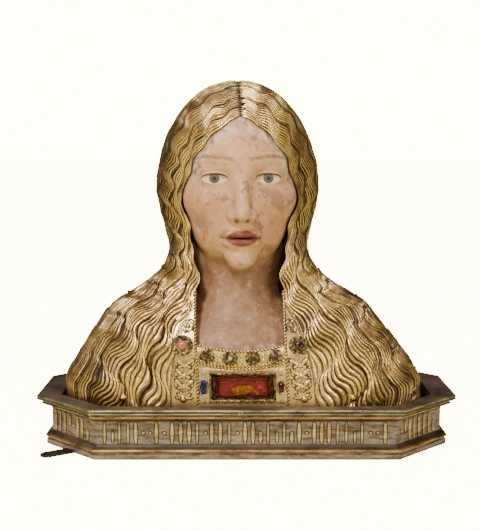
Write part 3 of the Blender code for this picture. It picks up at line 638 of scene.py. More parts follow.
def gilt_copper(name, gold, grime, shadow=0.9, lines=0.0, dulled=0.3):
    """Mercury-gilt copper, chased and rubbed: pale gold on the ridges, brown dirt and painted shade in the hollows."""
    material, tree, shader = new_material(name)
    gold, grime = tuple(as_linear(gold)), tuple(as_linear(grime))
    # dirt and painted shade: the hollow attribute, scaled by shadow, turns the grooves from gold through amber and
    # brown to near black
    dirt_and_shade = calculated(tree, "MULTIPLY_ADD", attribute(tree, "hollow"), shadow, attribute(tree, "tone"))
    # hammer marks 2 mm across
    height = patches(tree, 2.2, 3.0)
    if lines:
        # graver lines, three to a strand, that hold dirt and painted shade of their own
        uv = add_node(tree, "ShaderNodeTexCoord").outputs["UV"]
        inputs = {"Vector": uv, "Scale": lines, "Distortion": 1.2, "Detail": 2.0, "Detail Scale": 0.6}
        fine = add_node(tree, "ShaderNodeTexWave", inputs, bands_direction="X").outputs["Fac"]
        dirt_and_shade = calculated(tree, "ADD", calculated(tree, "MULTIPLY_ADD", fine, -0.20, dirt_and_shade), 0.08)
        height = calculated(tree, "MULTIPLY_ADD", fine, 0.8, height)
    # flecks 5 mm across where the gilding is rubbed
    flecks = remap(tree, patches(tree, 5, 5.0, 0.65), 0.52, 0.72, 0.0, 0.30)
    soiled_and_shaded = calculated(tree, "ADD", dirt_and_shade, flecks, clamp=True)
    amber = tuple(g * 0.45 + d * 0.55 for g, d in zip(gold[:3], linear("#8A5A2A")[:3])) + (1.0,)
    stops = ((0.0, gold), (0.20, gold), (0.42, amber), (0.70, grime), (1.0, "#170C05"))
    colour = ramp_colour(tree, soiled_and_shaded, *stops)
    # brown patches 30 mm across where it is dull, and silvery ones 17 mm across where it is worn thin
    colour = covered(tree, colour, "#54361F", remap(tree, patches(tree, 30, 3.0), 0.47, 0.63, 0.0, dulled))
    colour = covered(tree, colour, "#C9C2AC", remap(tree, patches(tree, 17, 3.0), 0.62, 0.76, 0.0, 0.32))
    set_inputs(tree, shader, {
        "Base Color": colour,
        "Metallic": remap(tree, soiled_and_shaded, 0.40, 0.9, 1.0, 0.25),
        "Roughness": remap(tree, soiled_and_shaded, 0.0, 1.0, 0.25, 0.65),
        "Normal": bump(tree, height, 0.35, 0.0004),
    })
    return material


def oxidised_silver(name):
    """Cast and filigree silver gone black-brown, blotched in 3 mm clouds from near black to dull grey-gold."""
    material, tree, shader = new_material(name)
    colour = ramp_colour(tree, patches(tree, 3, 4.0, 0.6), (0.32, "#1B160F"), (0.50, "#5E5236"), (0.68, "#D2BE8C"))
    grain = bump(tree, patches(tree, 0.8), 0.4, 0.0002)
    set_inputs(tree, shader, {"Base Color": colour, "Metallic": 0.85, "Roughness": 0.42, "Normal": grain})
    return material


def cut_stone(name, deep, pale, roughness=0.12):
    """A polished stone or glass paste: deep colour with paler cloudy veins and a wet gloss."""
    material, tree, shader = new_material(name)
    colour = ramp_colour(tree, patches(tree, 3.5, 4.0, 0.7), (0.35, deep), (0.72, pale))
    set_inputs(tree, shader, {"Base Color": colour, "Roughness": roughness, "IOR": 1.6})
    return material


def base_metal(name, pale, dark, patch_mm, metallic, roughness):
    """Old gilt and painted mouldings: blotched, rubbed pale in places and sooty in others."""
    material, tree, shader = new_material(name)
    # blotches of patch_mm, drawn out along the moulding, broken by 3 mm flecks
    broad = patches(tree, patch_mm, 4.0, 0.6, stretched_place(tree, (0.45, 0.45, 2.2)))
    fine = patches(tree, 3, 4.0, 0.65)
    scratch = 0.4
    mixed = calculated(tree, "MULTIPLY_ADD", fine, scratch, broad)
    share = calculated(tree, "MULTIPLY", mixed, 1 / (1 + scratch))
    set_inputs(tree, shader, {
        "Base Color": ramp_colour(tree, share, (0.36, dark), (0.62, pale)),
        "Metallic": metallic,
        "Roughness": remap(tree, fine, 0.0, 1.0, roughness - 0.12, roughness + 0.15),
        "Normal": bump(tree, mixed, 0.5, 0.0006),
    })
    return material


def flesh_paint(settings):
    """Oil paint on copper, centuries old: rosy flesh, crackled, rubbed grey-brown, and pale where it is lost, with
    painted shade under the chin, along the hair's edge, in the lid creases, on the eyeballs under the lids and in the
    nostrils.
    """
    material, tree, shader = new_material("flesh_paint")

    def mask(name, edge, soft):
        return remap(tree, attribute(tree, name), edge + soft, edge - soft)

    def part(value, low, high, most):
        return remap(tree, value, low, high, 0.0, most)

    def times(a, b):
        return calculated(tree, "MULTIPLY", a, b)

    broad = patches(tree, 26, 4.0, 0.6)
    middle = patches(tree, 9, 4.0, 0.6)
    fine = patches(tree, 2.4, 3.0, 0.6)
    scars = patches(tree, 12, 5.0, 0.65)
    speckled = calculated(tree, "MULTIPLY_ADD", fine, 0.5, part(middle, 0.3, 0.7, 0.5))
    mottled = ramp_colour(tree, speckled, (0.30, "#7C5A44"), (0.52, "#8F6C54"), (0.76, "#A27E66"))
    rim = calculated(tree, "SUBTRACT", mask("iris", 5.9, 0.3), mask("iris", 4.9, 0.5))
    in_eye = mask("eye", 0.0, 0.3)
    layers = (
        ("#B5705C", times(mask("blush", 12.0, 16.0), 0.50)),
        # the neck keeps less of its flesh tone: mottled grey and pink, with 2 mm specks
        (mottled, times(mask("neck", 0.0, 10.0), 0.92)),
        # painted shadow under the chin and jaw
        ("#6A4530", times(mask("jaw", 8.0, 12.0), 0.62)),
        ("#B9AEA6", times(mask("foot", 0.0, 5.0), part(middle, 0.46, 0.60, 0.6))),
        # rubbed patches 26 mm across show a grey-brown ground
        ("#7C5A48", part(broad, 0.57, 0.62, 0.66)),
        ("#7E5F4E", times(mask("rubbed", 0.0, 2.2), part(fine, 0.25, 0.5, 0.62))),
        # smaller scars 12 mm across with sharp edges, and 2 mm pits
        ("#8C6454", part(scars, 0.60, 0.63, 0.60)),
        ("#E2CDBA", part(scars, 0.40, 0.34, 0.3)),
        ("#6A4838", part(fine, 0.66, 0.72, 0.6)),
        # whitish loss of paint along the hairline, broken by 9 mm patches
        ("#DAD5CF", times(mask("hairline", 9.0, 6.0), part(middle, 0.44, 0.58, 0.8))),
        # painted shade along the hair's edge, in a band about 2 mm wide
        ("#5E4334", times(mask("hairline", 2.0, 2.5), 0.65)),
        ("#6E4A34", times(mask("brow", 1.2, 1.3), part(fine, 0.2, 0.55, 0.8))),
        # painted shade in the crease over each lid
        ("#8A5A44", times(mask("crease", 1.0, 1.6), 0.55)),
        (tuple(settings.lips), times(mask("lips", -0.4, 1.1), part(middle, 0.1, 0.4, 0.92))),
        ("#3A1613", mask("mouth", 0.6, 0.6)),
        # painted shade in the nostrils
        ("#2A1510", times(mask("nostril", 1.5, 1.5), 0.8)),
        ("#D6C6AE", mask("eye", 0.0, 0.35)),
        (tuple(settings.iris), times(mask("iris", 5.7, 0.35), in_eye)),
        ("#2E3438", times(rim, in_eye)),
        ("#15110F", times(mask("iris", 2.4, 0.4), in_eye)),
        # painted shadow of the upper lid on the eyeball
        ("#5A4236", times(mask("lash", 2.2, 2.0), times(in_eye, 0.55))),
        ("#22140E", mask("lash", 0.95, 0.45)),
    )
    skin = ramp_colour(tree, middle, (0.28, "#B88F76"), (0.52, tuple(settings.flesh)), (0.76, "#D3AE90"))
    for colour, amount in layers:
        skin = covered(tree, skin, colour, amount)
    # crackle cells about 3 mm across, and the brush's unevenness
    inputs = {"Vector": object_place(tree), "Scale": 1000 / 3.2}
    crackle = add_node(tree, "ShaderNodeTexVoronoi", inputs, feature="DISTANCE_TO_EDGE").outputs["Distance"]
    cracks = remap(tree, crackle, 0.0, 0.06, 0.0, 0.5)
    height = calculated(tree, "ADD", fine, calculated(tree, "MULTIPLY_ADD", broad, 2.0, cracks))
    set_inputs(tree, shader, {
        "Base Color": skin,
        "Roughness": remap(tree, fine, 0.0, 1.0, 0.36, 0.62),
        "Normal": bump(tree, height, 0.30, 0.0004),
    })
    return material


# The chased hair


class RELIQUARY_OT_hair(bpy.types.Operator):
    """Makes the chased hair that falls from the parting over the shoulders"""

    bl_idname = "reliquary.hair"
    bl_label = "Chased hair"
    RIDGE = (0.0, 0.78, 1.0, 0.78)
    # how deep each of a strand's four columns lies, 1 in the groove; the gilt turns it into dirt and painted shade
    HOLLOW = (1.0, 0.34, 0.0, 0.34)
    ROWS = 139
    NEAREST = 0.55
    FARTHEST = 1.7

    def execute(self, context):
        settings = context.scene.reliquary_hair
        turn, fall, along = self.waving_grid(settings)
        points = hugging(settings.skin_lift, turn, fall, round_point(ring_angle(turn, fall), fall))
        points = lean(points)
        raised, fields = self.chased(settings, points, turn, fall, along)
        bm = bent_grid(raised, fields)
        self.close_front(bm, raised.shape[1])
        bmesh.ops.triangulate(bm, faces=[f for f in bm.faces if len(f.verts) > 4])
        gold = gilt_copper("gilt_copper_hair", settings.gold, settings.grime, 0.90, settings.strands * 1.9, 0.62)
        add_piece("hair", bm, gold, ["hair_and_shoulders"], smooth_angle=75)
        return {"FINISHED"}

    def waving_grid(self, settings):
        """Turn and fall of each point of the grid, with the strands swinging in waves as they fall."""
        half = settings.strands * len(self.RIDGE)
        shares = np.linspace(0, 1, 41)
        falls = np.linspace(0, 2, 241)
        table = round_point(ring_angle(shares[None, :], falls[:, None]), falls[:, None])
        steps = np.linalg.norm(np.diff(table, axis=0), axis=2)
        lengths = np.vstack([np.zeros(len(shares)), np.cumsum(steps, axis=0)])
        widths = np.linalg.norm(np.diff(table, axis=1), axis=2).sum(axis=1)
        mean = lengths[:, 8:32].mean(axis=1)
        row_fall = np.interp(np.linspace(0, mean[-1], self.ROWS + 1), mean, falls)
        turn = np.linspace(0, 2, 2 * half + 1)[None, :] + np.zeros((self.ROWS + 1, 1))
        fall = row_fall[:, None] + np.zeros((1, 2 * half + 1))
        share = np.minimum(turn, 2 - turn)
        # length fallen along the strand, read from the table
        row = np.interp(fall, falls, np.arange(len(falls)))
        column = np.clip(share * (len(shares) - 1), 0, len(shares) - 1.001)
        along = read_table(lengths, row, column)
        width = np.interp(fall, falls, widths)
        # waves lengthen from the crown down to the shoulders
        fallen = np.linspace(0, 0.8, 801)
        longer = settings.shoulder_wave - settings.crown_wave
        length = settings.crown_wave + longer * smoothstep(0.20, 0.34, fallen)
        phase_table = np.cumsum(math.tau / length) * (fallen[1] - fallen[0])
        phase = np.interp(along, fallen, phase_table)
        loosen = smoothstep(0.26, 0.36, along)
        drift = wander(turn * math.pi * 1.55, SEED, 3) * 1.1
        drift = drift + wander(turn * math.pi * 4.2, SEED + 1, 3) * 0.50 * loosen
        drift = drift + math.pi * smoothstep(0.75, 1.25, turn)
        place = np.arange(turn.shape[1])[None, :] / len(self.RIDGE)
        edges = self.lock_edges(settings)
        own = np.random.default_rng(SEED + 9).uniform(-1, 1, len(edges) + 1)
        for edge, change in zip(edges, np.diff(own)):
            drift = drift + change * (1.15 - 0.1 * loosen) * smoothstep(edge - 2.0, edge + 2.0, place)
        wider = settings.shoulder_swing - settings.crown_swing
        swing = settings.crown_swing + wider * smoothstep(0.16, 0.30, along)
        swing = np.minimum(swing, width * 0.036)
        behind = self.behind(turn, along)
        swing = swing * (1 - 0.93 * behind)
        free = np.clip(0.30 + share * 12, 0, 1) * smoothstep(0.0, 0.035, along)
        angle = phase + drift
        # strands bunch to one side of their lock and then to the other
        share_of_lock = np.interp(place, edges, np.arange(len(edges)))
        beat = np.sin(along * math.tau / 0.062 + 2.4 * np.floor(share_of_lock))
        bunch = 0.50 * np.sin(share_of_lock * math.tau) * beat * free * (1 - 0.7 * behind)
        moved = self.kept_apart(turn + swing * free * np.sin(angle) / width + bunch / settings.strands, turn)
        sag = 0.05 * (settings.shoulder_wave / 0.056) * smoothstep(0.2, 0.3, along) * free
        slope = np.gradient(fall, axis=0) / np.maximum(np.gradient(along, axis=0), 1e-6)
        sag = sag * (1 - 0.9 * behind)
        down = fall - sag * length.max() * np.sin(2 * angle) * slope * smoothstep(2.0, 1.97, fall)
        down[0] = 0.0
        down = self.kept_apart(down.T, fall.T).T
        return moved, np.clip(down, 0, 2), along

    def behind(self, turn, along):
        """1 down the middle of the back and 0 at the sides and on the crown."""
        return smoothstep(0.34, 0.12, np.abs(turn - 1)) * smoothstep(0.14, 0.22, along)

    def kept_apart(self, moved, rest):
        """The moved columns with none nearer to the next, or farther from it, than a share of its gap at rest."""
        even = np.diff(rest, axis=1)
        gaps = np.clip(np.diff(moved, axis=1), self.NEAREST * even, self.FARTHEST * even)
        gaps = gaps * (moved[:, -1:] - moved[:, :1]) / gaps.sum(axis=1, keepdims=True)
        return np.hstack([moved[:, :1], moved[:, :1] + np.cumsum(gaps, axis=1)])

    def lock_edges(self, settings):
        """Where the furrows between locks run, counted in strands from the right edge round to the left."""
        edges = np.cumsum(np.random.default_rng(SEED + 4).integers(5, 10, 60))
        return edges[edges < 2 * settings.strands - 2]

    def chased(self, settings, points, turn, fall, along):
        """Raises the ridges of the strands and sinks the furrows between locks."""
        rows, columns = points.shape[:2]
        across = np.gradient(points, axis=1)
        down = np.gradient(points, axis=0)
        normal = np.cross(across, down)
        normal /= np.maximum(np.linalg.norm(normal, axis=2), 1e-12)[..., None]
        centre = points[rows // 2].mean(axis=0)
        if (normal[rows // 2] * (points[rows // 2] - centre)).sum() < 0:
            normal = -normal
        per = len(self.RIDGE)
        chance = np.random.default_rng(SEED + 3)
        index = np.arange(columns)
        strand = index // per
        width = np.linalg.norm(across, axis=2) * per
        area = np.linalg.norm(np.cross(across, down), axis=2)
        square = area / np.maximum(np.linalg.norm(down, axis=2), 1e-9) * per
        padded = np.pad(np.minimum(width, square), ((0, 0), (2, 2)), mode="edge")
        width = np.apply_along_axis(lambda line: np.convolve(line, np.ones(5) / 5, "valid"), 1, padded)
        strong = chance.uniform(0.72, 1.12, columns // per + 2)[strand]
        start = chance.uniform(0, math.tau, columns // per + 2)[strand]
        beat = 0.86 + 0.14 * np.sin(along * math.tau / 0.047 + start)
        ridge = np.array(self.RIDGE)[index % per] * strong * beat
        height = np.clip(width * settings.ridge, 0.0005, 0.0026) * ridge
        # locks of 5 to 9 strands, each rounded between two furrows that wander a little
        edges = self.lock_edges(settings)
        straight = 1 - 0.85 * self.behind(turn, along)
        place = index[None, :] / per + 0.8 * wander(along * 38 + turn * 3, SEED + 5, 3) * straight
        gap = np.abs(place[..., None] - edges[None, None, :]).min(axis=2)
        gap = gap * np.clip(width / np.median(width, axis=1, keepdims=True), 1, 3)
        furrow = np.exp(-((gap / 1.3) ** 2))
        tone = np.interp(place, edges, chance.uniform(-0.16, 0.22, len(edges)))
        share = np.minimum(turn, 2 - turn)
        near_edge = np.clip(share / 0.02, 0, 1)
        shown = smoothstep(0.0, 0.006, along) * smoothstep(2.0, 1.94, fall)
        low = smoothstep(1.10, 1.40, fall)
        height = height * shown - furrow * settings.lock_depth * shown * (0.35 + 0.65 * low) * near_edge
        height = height + 0.0016 * low * (1 - near_edge) * shown - 0.0007 * (1 - smoothstep(0.0, 0.004, along))
        height[0] = height[0].mean()
        # the furrows between locks are painted darker: dirt and painted shade
        cut = np.exp(-((gap / 0.75) ** 2))
        hollow = np.array(self.HOLLOW)[index % per] * (1 - 0.4 * cut) + 0.66 * cut
        # painted shade: the sides of the head and the ends of the shoulders, turned from the light, are made the
        # brownest
        beside = np.abs(points[..., 0] - points[..., columns // 2, 0][:, None])
        high = smoothstep(0.19, 0.24, points[..., 2])
        tone = tone + 0.34 * smoothstep(0.052, 0.080, beside) * high
        tone = tone + 0.20 * smoothstep(0.150, 0.195, beside) * (1 - high)
        # painted shade along the parting, where the strands start
        hollow = hollow + 0.6 * (1 - smoothstep(0.0005, 0.003, along))
        raised = points + normal * height[..., None]
        # the crown stays under the solid's own height
        top, knee = CAD_BOX[1][2] - 0.0002, CAD_BOX[1][2] - 0.010
        over = np.clip(raised[..., 2] - knee, 0, None)
        raised[..., 2] = np.minimum(raised[..., 2], knee) + over * (top - knee) / max(over.max(), top - knee)
        return raised, {"hollow": hollow, "tone": tone}

    def close_front(self, bm, columns):
        """Turns the hair's front edges inwards and closes the shell behind the face and under the base."""
        grid = bm.verts[:]
        right, left, bottom = grid[columns::columns], grid[2 * columns - 1 :: columns], grid[-columns:]
        bmesh.ops.remove_doubles(bm, verts=grid[:columns], dist=1e-5)
        top = [v for v in bm.verts if v.is_boundary and v not in set(right + left + bottom)]
        loops = [[self.sunk_edge(bm, line, side, row) for row in (0, 1)] for line, side in ((right, 1), (left, -1))]
        crown = top[0]
        under = [bm.verts.new(crown.co + Vector((0, deep, 0))) for deep in (0.006, 0.012)]
        for line, (inner, back) in zip((right, left), loops):
            for outer, deeper, start, end in ((line, inner, crown, under[0]), (inner, back, under[0], under[1])):
                bm.faces.new((start, outer[0], deeper[0], end))
                for k in range(len(line) - 1):
                    bm.faces.new((outer[k], outer[k + 1], deeper[k + 1], deeper[k]))
        bm.faces.new((under[1], loops[0][1][0], loops[1][1][0]))
        for k in range(len(right) - 1):
            bm.faces.new((loops[0][1][k], loops[0][1][k + 1], loops[1][1][k + 1], loops[1][1][k]))
        bm.faces.new(bottom + [loops[1][0][-1], loops[1][1][-1], loops[0][1][-1], loops[0][0][-1]])

    def sunk_edge(self, bm, line, side, row):
        """The hair's edge turned in: a lip first, then the wall of the deep hollow beside the neck."""
        sunk = []
        hollow = bm.verts.layers.float["hollow"]
        for vert in line:
            level = (vert.co.z - BASE_HEIGHT) / FIGURE_HEIGHT
            deep = 0.006 + 0.012 * float(smoothstep(0.56, 0.46, level)) * float(smoothstep(0.26, 0.34, level))
            out = 0.004 * float(smoothstep(0.52, 0.44, level)) * side
            spot = vert.co + Vector((out, deep, 0))
            if row == 1:
                beside_neck = float(smoothstep(0.12, 0.20, level)) * float(smoothstep(0.80, 0.65, level))
                spot.y += 0.004 + beside_neck * max(0.012 - spot.y, 0)
            sunk.append(bm.verts.new(spot))
            # painted shade inside the hair's turned-in edge and on the wall of the hollow beside the neck
            sunk[-1][hollow] = 0.72 if row == 0 else 1.0
        return sunk


# The painted face


class RELIQUARY_OT_face(bpy.types.Operator):
    """Makes the painted face and neck"""

    bl_idname = "reliquary.face"
    bl_label = "Painted face and neck"
    SIDE = 0.005
    LEVEL = 0.321

    def execute(self, context):
        settings = context.scene.reliquary_face
        bm = self.head(settings)
        placed(bm, head_place())
        axis_x = float(section_at(NECK_FOOT * FIGURE_HEIGHT)["axis"])
        side = PANEL_HALF_WIDTH * FIGURE_HEIGHT + self.SIDE
        for vert in bm.verts:
            past = abs(vert.co.x - axis_x) - side
            if past > 0 and vert.co.z < BASE_HEIGHT + self.LEVEL * FIGURE_HEIGHT:
                vert.co.x = axis_x + math.copysign(side + past / 50, vert.co.x - axis_x)
        foot = (0, 0, BASE_HEIGHT + NECK_FOOT * FIGURE_HEIGHT)
        whole = bm.verts[:] + bm.edges[:] + bm.faces[:]
        done = bmesh.ops.bisect_plane(
            bm, geom=whole, dist=1e-6, plane_co=foot, plane_no=(0, 0, -1), clear_outer=True
        )
        edges = [e for e in done["geom_cut"] if isinstance(e, bmesh.types.BMEdge)]
        bmesh.ops.contextual_create(bm, geom=edges)
        add_piece("face", bm, flesh_paint(settings), ["face_and_neck"], smooth_angle=80)
        return {"FINISHED"}

    def head(self, settings):
        """A ball whose points are drawn in on to the blended forms, with the paint's places kept at each."""
        bm = bmesh.new()
        bmesh.ops.create_uvsphere(bm, u_segments=settings.columns, v_segments=settings.rows, radius=1)
        ball = np.array([v.co for v in bm.verts])
        down = np.arccos(np.clip(ball[:, 2], -1, 1)) / math.pi
        azimuth = np.arctan2(ball[:, 0], -ball[:, 1])
        azimuth -= FACE_CROWDING * np.sin(azimuth)
        shares, heights, slopes = np.array(RAY_FAN).T
        slope = np.radians(np.interp(down, shares, slopes))
        origin = np.interp(down, shares, heights)[:, None] * (0, 0, 1)
        level = np.cos(slope)
        ray = np.stack([np.sin(azimuth) * level, np.cos(azimuth) * level, np.sin(slope)], 1)
        reach = march_to_skin(origin, ray, 70)
        reach[down > 1 - 1e-4] = 0.0
        spots = origin + reach[:, None] * ray
        fields = self.paint_places(spots)
        for name, values in fields.items():
            layer = bm.verts.layers.float.new(name)
            for vert, value in zip(bm.verts, values):
                vert[layer] = value
        for vert, (side, forward, up) in zip(bm.verts, spots):
            vert.co = (side, -forward, up)
        return bm

    # where the paint is rubbed through: side, height, half width and half height in head millimetres
    RUBBED = (
        (-2.0, 62.0, 7.0, 4.5),
        (31.0, 47.0, 12.0, 8.0),
        (-33.0, 41.0, 5.0, 3.0),
        (14.0, 45.0, 4.0, 3.5),
        (-46.0, -52.0, 7.0, 9.0),
        (36.0, -84.0, 8.0, 5.0),
        (-22.0, -98.0, 9.0, 5.0),
    )

    def paint_places(self, spots):
        """Distances in head millimetres to each painted place, less than 0 inside it."""
        side, forward, up = np.abs(spots[:, 0]), spots[:, 1], spots[:, 2]
        behind = np.where(forward > 20, 0, 40)

        def oval(x, z, wide, tall):
            near = np.hypot((side - x) / wide, (up - z) / tall)
            return (near - 1) * min(wide, tall) + behind

        lash_line = -1 + 5.6 * np.sqrt(np.clip(1 - ((side - 31) / 15.2) ** 2, 0, 1))
        past_lash = np.maximum(np.abs(side - 31) - 15.2, 0)
        brow_line = 21.5 + 3.2 * np.sin(np.clip((side - 10) / 42, 0, 1) * math.pi * 0.85) - 0.5
        past_brow = np.maximum(np.maximum(11 - side, side - 50), 0)
        fall = np.linspace(0, 1.45, 60)[:, None]
        turn = np.zeros_like(fall)
        edge = in_head(lean(hugging(0.0, turn, fall, round_point(ring_angle(turn, fall), fall))))[:, 0]
        to_hair = np.hypot(side[:, None] - np.abs(edge[:, 0]), up[:, None] - edge[:, 2]).min(axis=1)
        rubbed = np.full(len(spots), 40.0)
        for x, z, wide, tall in self.RUBBED:
            near = np.hypot((spots[:, 0] - x) / wide, (up - z) / tall)
            rubbed = np.minimum(rubbed, (near - 1) * min(wide, tall) + behind)
        return {
            "eye": oval(31, -1, 14.2, 5.4),
            "iris": np.hypot(side - 31, up + 0.4) + behind,
            "lash": np.hypot(np.abs(up - lash_line), past_lash * 1.5) + behind,
            "brow": np.hypot(up - brow_line, past_brow) - 0.9 + behind,
            # the lid crease, for its painted shade
            "crease": np.abs(up - lash_line - 4.6) + past_lash + behind,
            "lips": oval(0, -68.8, 23.5, 10.0) + np.where(up > -68.8, 0.16 * np.abs(side - 6), 0.10 * side),
            "mouth": np.hypot(up + 68.8, np.maximum(side - 22, 0)) + behind,
            # the nostrils, for their painted shade
            "nostril": np.hypot(side - 6.2, (up + 49.0)) - 1.0 + behind,
            "blush": oval(44, -40, 16, 18),
            "hairline": to_hair + np.maximum(18 - up, 0) * 0.22,
            "neck": 96 + up + np.maximum(forward - 62, 0) * 1.2,
            # a band under the chin and jaw, for its painted shadow
            "jaw": np.abs(up + 112) + np.maximum(forward - 60, 0) * 0.4,
            "foot": spots[:, 2] + 190 - 0.1 * spots[:, 0],
            "rubbed": rubbed,
        }


# The breast: bands, neckline and their relief


class RELIQUARY_OT_breast(bpy.types.Operator):
    """Makes the breast panel with its two ornamented bands and the twisted borders"""

    bl_idname = "reliquary.breast"
    bl_label = "Breast panel and bands"
    BAND_COLUMNS = 62
    TOP = 0.126
    FOOT = -0.004
    THICK = 0.0024
    KNOTS = (21, 33, 45)
    KNOT_LEAVES = ((6.0, 3.0, 52, 6.0, 1.7), (4.2, -2.2, 105, 3.8, 1.3, 0.8), (9.5, 1.0, 20, 3.0, 1.1, 0.7))
    TOP_LEAVES = [(3.2, 84, 35, 3.8, 1.2, 0.7), (3.6, 92, 125, 3.6, 1.1, 0.7), (8.5, 88, 12, 5.0, 1.1, 0.6)]

    def execute(self, context):
        settings = context.scene.reliquary_breast
        window = context.scene.reliquary_window
        places = self.grid(window)
        points, fields = self.surface(settings, *places)
        bm = bent_grid(points, fields)
        self.open_holes(bm, window)
        bmesh.ops.recalc_face_normals(bm, faces=bm.faces)
        front = sum(f.normal.y for f in bm.faces)
        if front > 0:
            bmesh.ops.reverse_faces(bm, faces=bm.faces)
        bmesh.ops.solidify(bm, geom=bm.faces[:], thickness=self.THICK)
        gold = gilt_copper("gilt_copper_breast", "#EED496", "#4A2F17", 1.0)
        add_piece("breast_panel", bm, gold, ["hair_and_shoulders"], 60, recalculate=False)
        rope_gold = gilt_copper("gilt_copper_wire", "#EFCF8E", "#3A2412", 0.9)
        add_piece("twisted_borders", self.ropes(settings), rope_gold, smooth_angle=70)
        return {"FINISHED"}

    def window_edges(self, window):
        half_x, half_y = window.width / 2 - window.wall, window.tall / 2 - window.wall
        return WINDOW_X - half_x, WINDOW_X + half_x, WINDOW_LEVEL - half_y, WINDOW_LEVEL + half_y

    def neckline(self, x):
        panel = PANEL_HALF_WIDTH * FIGURE_HEIGHT
        return (NECKLINE + NECKLINE_RISE * (x / panel) ** 2) * FIGURE_HEIGHT

    def grid(self, window):
        """Distance from the axis and height above the rim of each point, in columns and rows that meet edges."""
        panel = PANEL_HALF_WIDTH * FIGURE_HEIGHT
        left, right, low, high = self.window_edges(window)
        axis = float(section_at(WINDOW_LEVEL)["axis"])
        left, right = left - axis, right - axis
        outer = np.linspace(1, 0, self.BAND_COLUMNS + 1)[:-1]
        stretches = ((-panel, left, 18), (left, right, 80), (right, panel, 18))
        middle = np.concatenate([np.linspace(*stretch)[:-1] for stretch in stretches] + [[panel]])
        rows = np.concatenate(
            [
                np.linspace(self.FOOT, low, 16)[:-1],
                np.linspace(low, high, 34)[:-1],
                np.linspace(high, NECKLINE * FIGURE_HEIGHT, 31)[:-1],
                np.linspace(NECKLINE * FIGURE_HEIGHT, self.TOP, 84),
            ]
        )
        edge = section_at(rows)["edge"][:, None] + 0.0045
        band, mirrored = (panel + (edge - panel) * share for share in (outer, outer[::-1]))
        from_axis = np.hstack([-band, np.tile(middle, (len(rows), 1)), mirrored])
        rise = self.neckline(np.clip(from_axis, -panel, panel)) - NECKLINE * FIGURE_HEIGHT
        above = smoothstep(high, NECKLINE * FIGURE_HEIGHT, rows) * smoothstep(self.TOP, 0.07, rows)
        return from_axis, rows[:, None] + rise * above[:, None]

    def surface(self, settings, from_axis, height):
        """The smooth front of the bust with its relief, and how hollow it is at each place."""
        panel = PANEL_HALF_WIDTH * FIGURE_HEIGHT
        axis = section_at(height)["axis"]
        relief, hollow = self.relief(settings, from_axis * 1000, height * 1000)
        on_band = smoothstep(panel - 0.0006, panel + 0.0004, np.abs(from_axis))
        out = front_depth(from_axis + axis, height) + settings.band_rise * on_band + relief
        points = np.stack([from_axis + axis, -out, BASE_HEIGHT + height], -1)
        return points, {"hollow": hollow, "tone": np.full(hollow.shape, -0.05)}

    def relief(self, settings, x, z):
        """Leaves, stems and stars on the bands, and scallops over the window, in metres."""
        panel = PANEL_HALF_WIDTH * FIGURE_HEIGHT * 1000
        edge = section_at(z / 1000)["edge"] * 1000
        side = np.abs(x)
        middle = (panel + edge) / 2
        a = side - middle
        shape = np.zeros_like(x)
        halo = np.zeros_like(x)

        def leaf(ca, cz, angle, length, width, height=1.0):
            nonlocal halo
            turn = math.radians(angle)
            u = (a - ca) * math.cos(turn) + (z - cz) * math.sin(turn)
            v = -(a - ca) * math.sin(turn) + (z - cz) * math.cos(turn)
            v = v - 0.09 * u * u / max(length, 1) * np.sign(u)
            near = (u / length) ** 2 + (v / width) ** 2
            halo = np.maximum(halo, smoothstep(1.25, 0.95, np.hypot(u / (length + 0.7), v / (width + 0.7))))
            rib = 0.35 * np.exp(-((v / 0.35) ** 2))
            return np.where(near < 1, height * np.sqrt(np.clip(1 - near, 0, 1)) * (1 - rib), 0)

        stem = np.exp(-((a / 0.75) ** 2)) * smoothstep(6, 9, z) * smoothstep(60, 57, z)
        shape = np.maximum(shape, 0.8 * stem)
        # across, up, turn outwards, length, width and height of the leaves that come in pairs
        pairs = [(across, level + up, *rest) for level in self.KNOTS for across, up, *rest in self.KNOT_LEAVES]
        pairs += self.TOP_LEAVES
        leaves = [(0, level, 0, 2.2, 1.6, 1.1) for level in self.KNOTS] + [(0, 88, 0, 1.8, 1.8, 0.9)]
        for across, up, turn, *size in pairs:
            leaves += [(flip * across, up, 90 - flip * turn, *size) for flip in (-1, 1)]
        for petal in range(-3, 4):
            angle = 90 - petal * 27
            ca, cz = 5.2 * math.cos(math.radians(angle)), 6 + 5.2 * math.sin(math.radians(angle))
            leaves.append((ca, cz, angle, 4.8, 1.25))
        for place in leaves:
            shape = np.maximum(shape, leaf(*place))
        on_band = smoothstep(panel, panel + 2.8, side)
        inside = smoothstep(edge - 4.5, edge - 5.2, side) * on_band
        shape = shape * inside
        # slanted ticks 2.4 mm apart along the outer edges, between two fillets
        tick = 0.5 + 0.5 * np.sin((z + 0.9 * side) * math.tau / 2.6)
        strip = smoothstep(edge - 4.6, edge - 4.0, side) * smoothstep(edge - 0.2, edge - 0.8, side)
        fillet = np.exp(-(((side - edge + 4.8) / 0.45) ** 2)) + np.exp(-(((side - edge + 0.2) / 0.6) ** 2))
        total = shape + 0.42 * tick * strip + 0.6 * fillet
        # scallops 5 mm wide in a strip over the window, and small beads between the borders of the neckline
        central = smoothstep(panel - 1, panel - 2, side)
        neck = self.neckline(x / 1000) * 1000
        scallop = np.abs(np.sin(x * math.pi / 5.4))
        arch = smoothstep(0.5, -0.4, np.abs(z - 37.6 - 1.8 * scallop) - 0.8)
        total = total + 0.7 * arch * central
        beads = np.clip(np.sin(x * math.tau / 3.2), 0, 1) * np.exp(-(((z - neck + 14.9) / 0.8) ** 2))
        total = total + 0.5 * beads * central
        frame = smoothstep(3.4, 2.8, z) * smoothstep(0.4, 1.0, z)
        total = total + 0.5 * frame * central * (0.6 + 0.4 * np.sin(x * math.tau / 3.0))
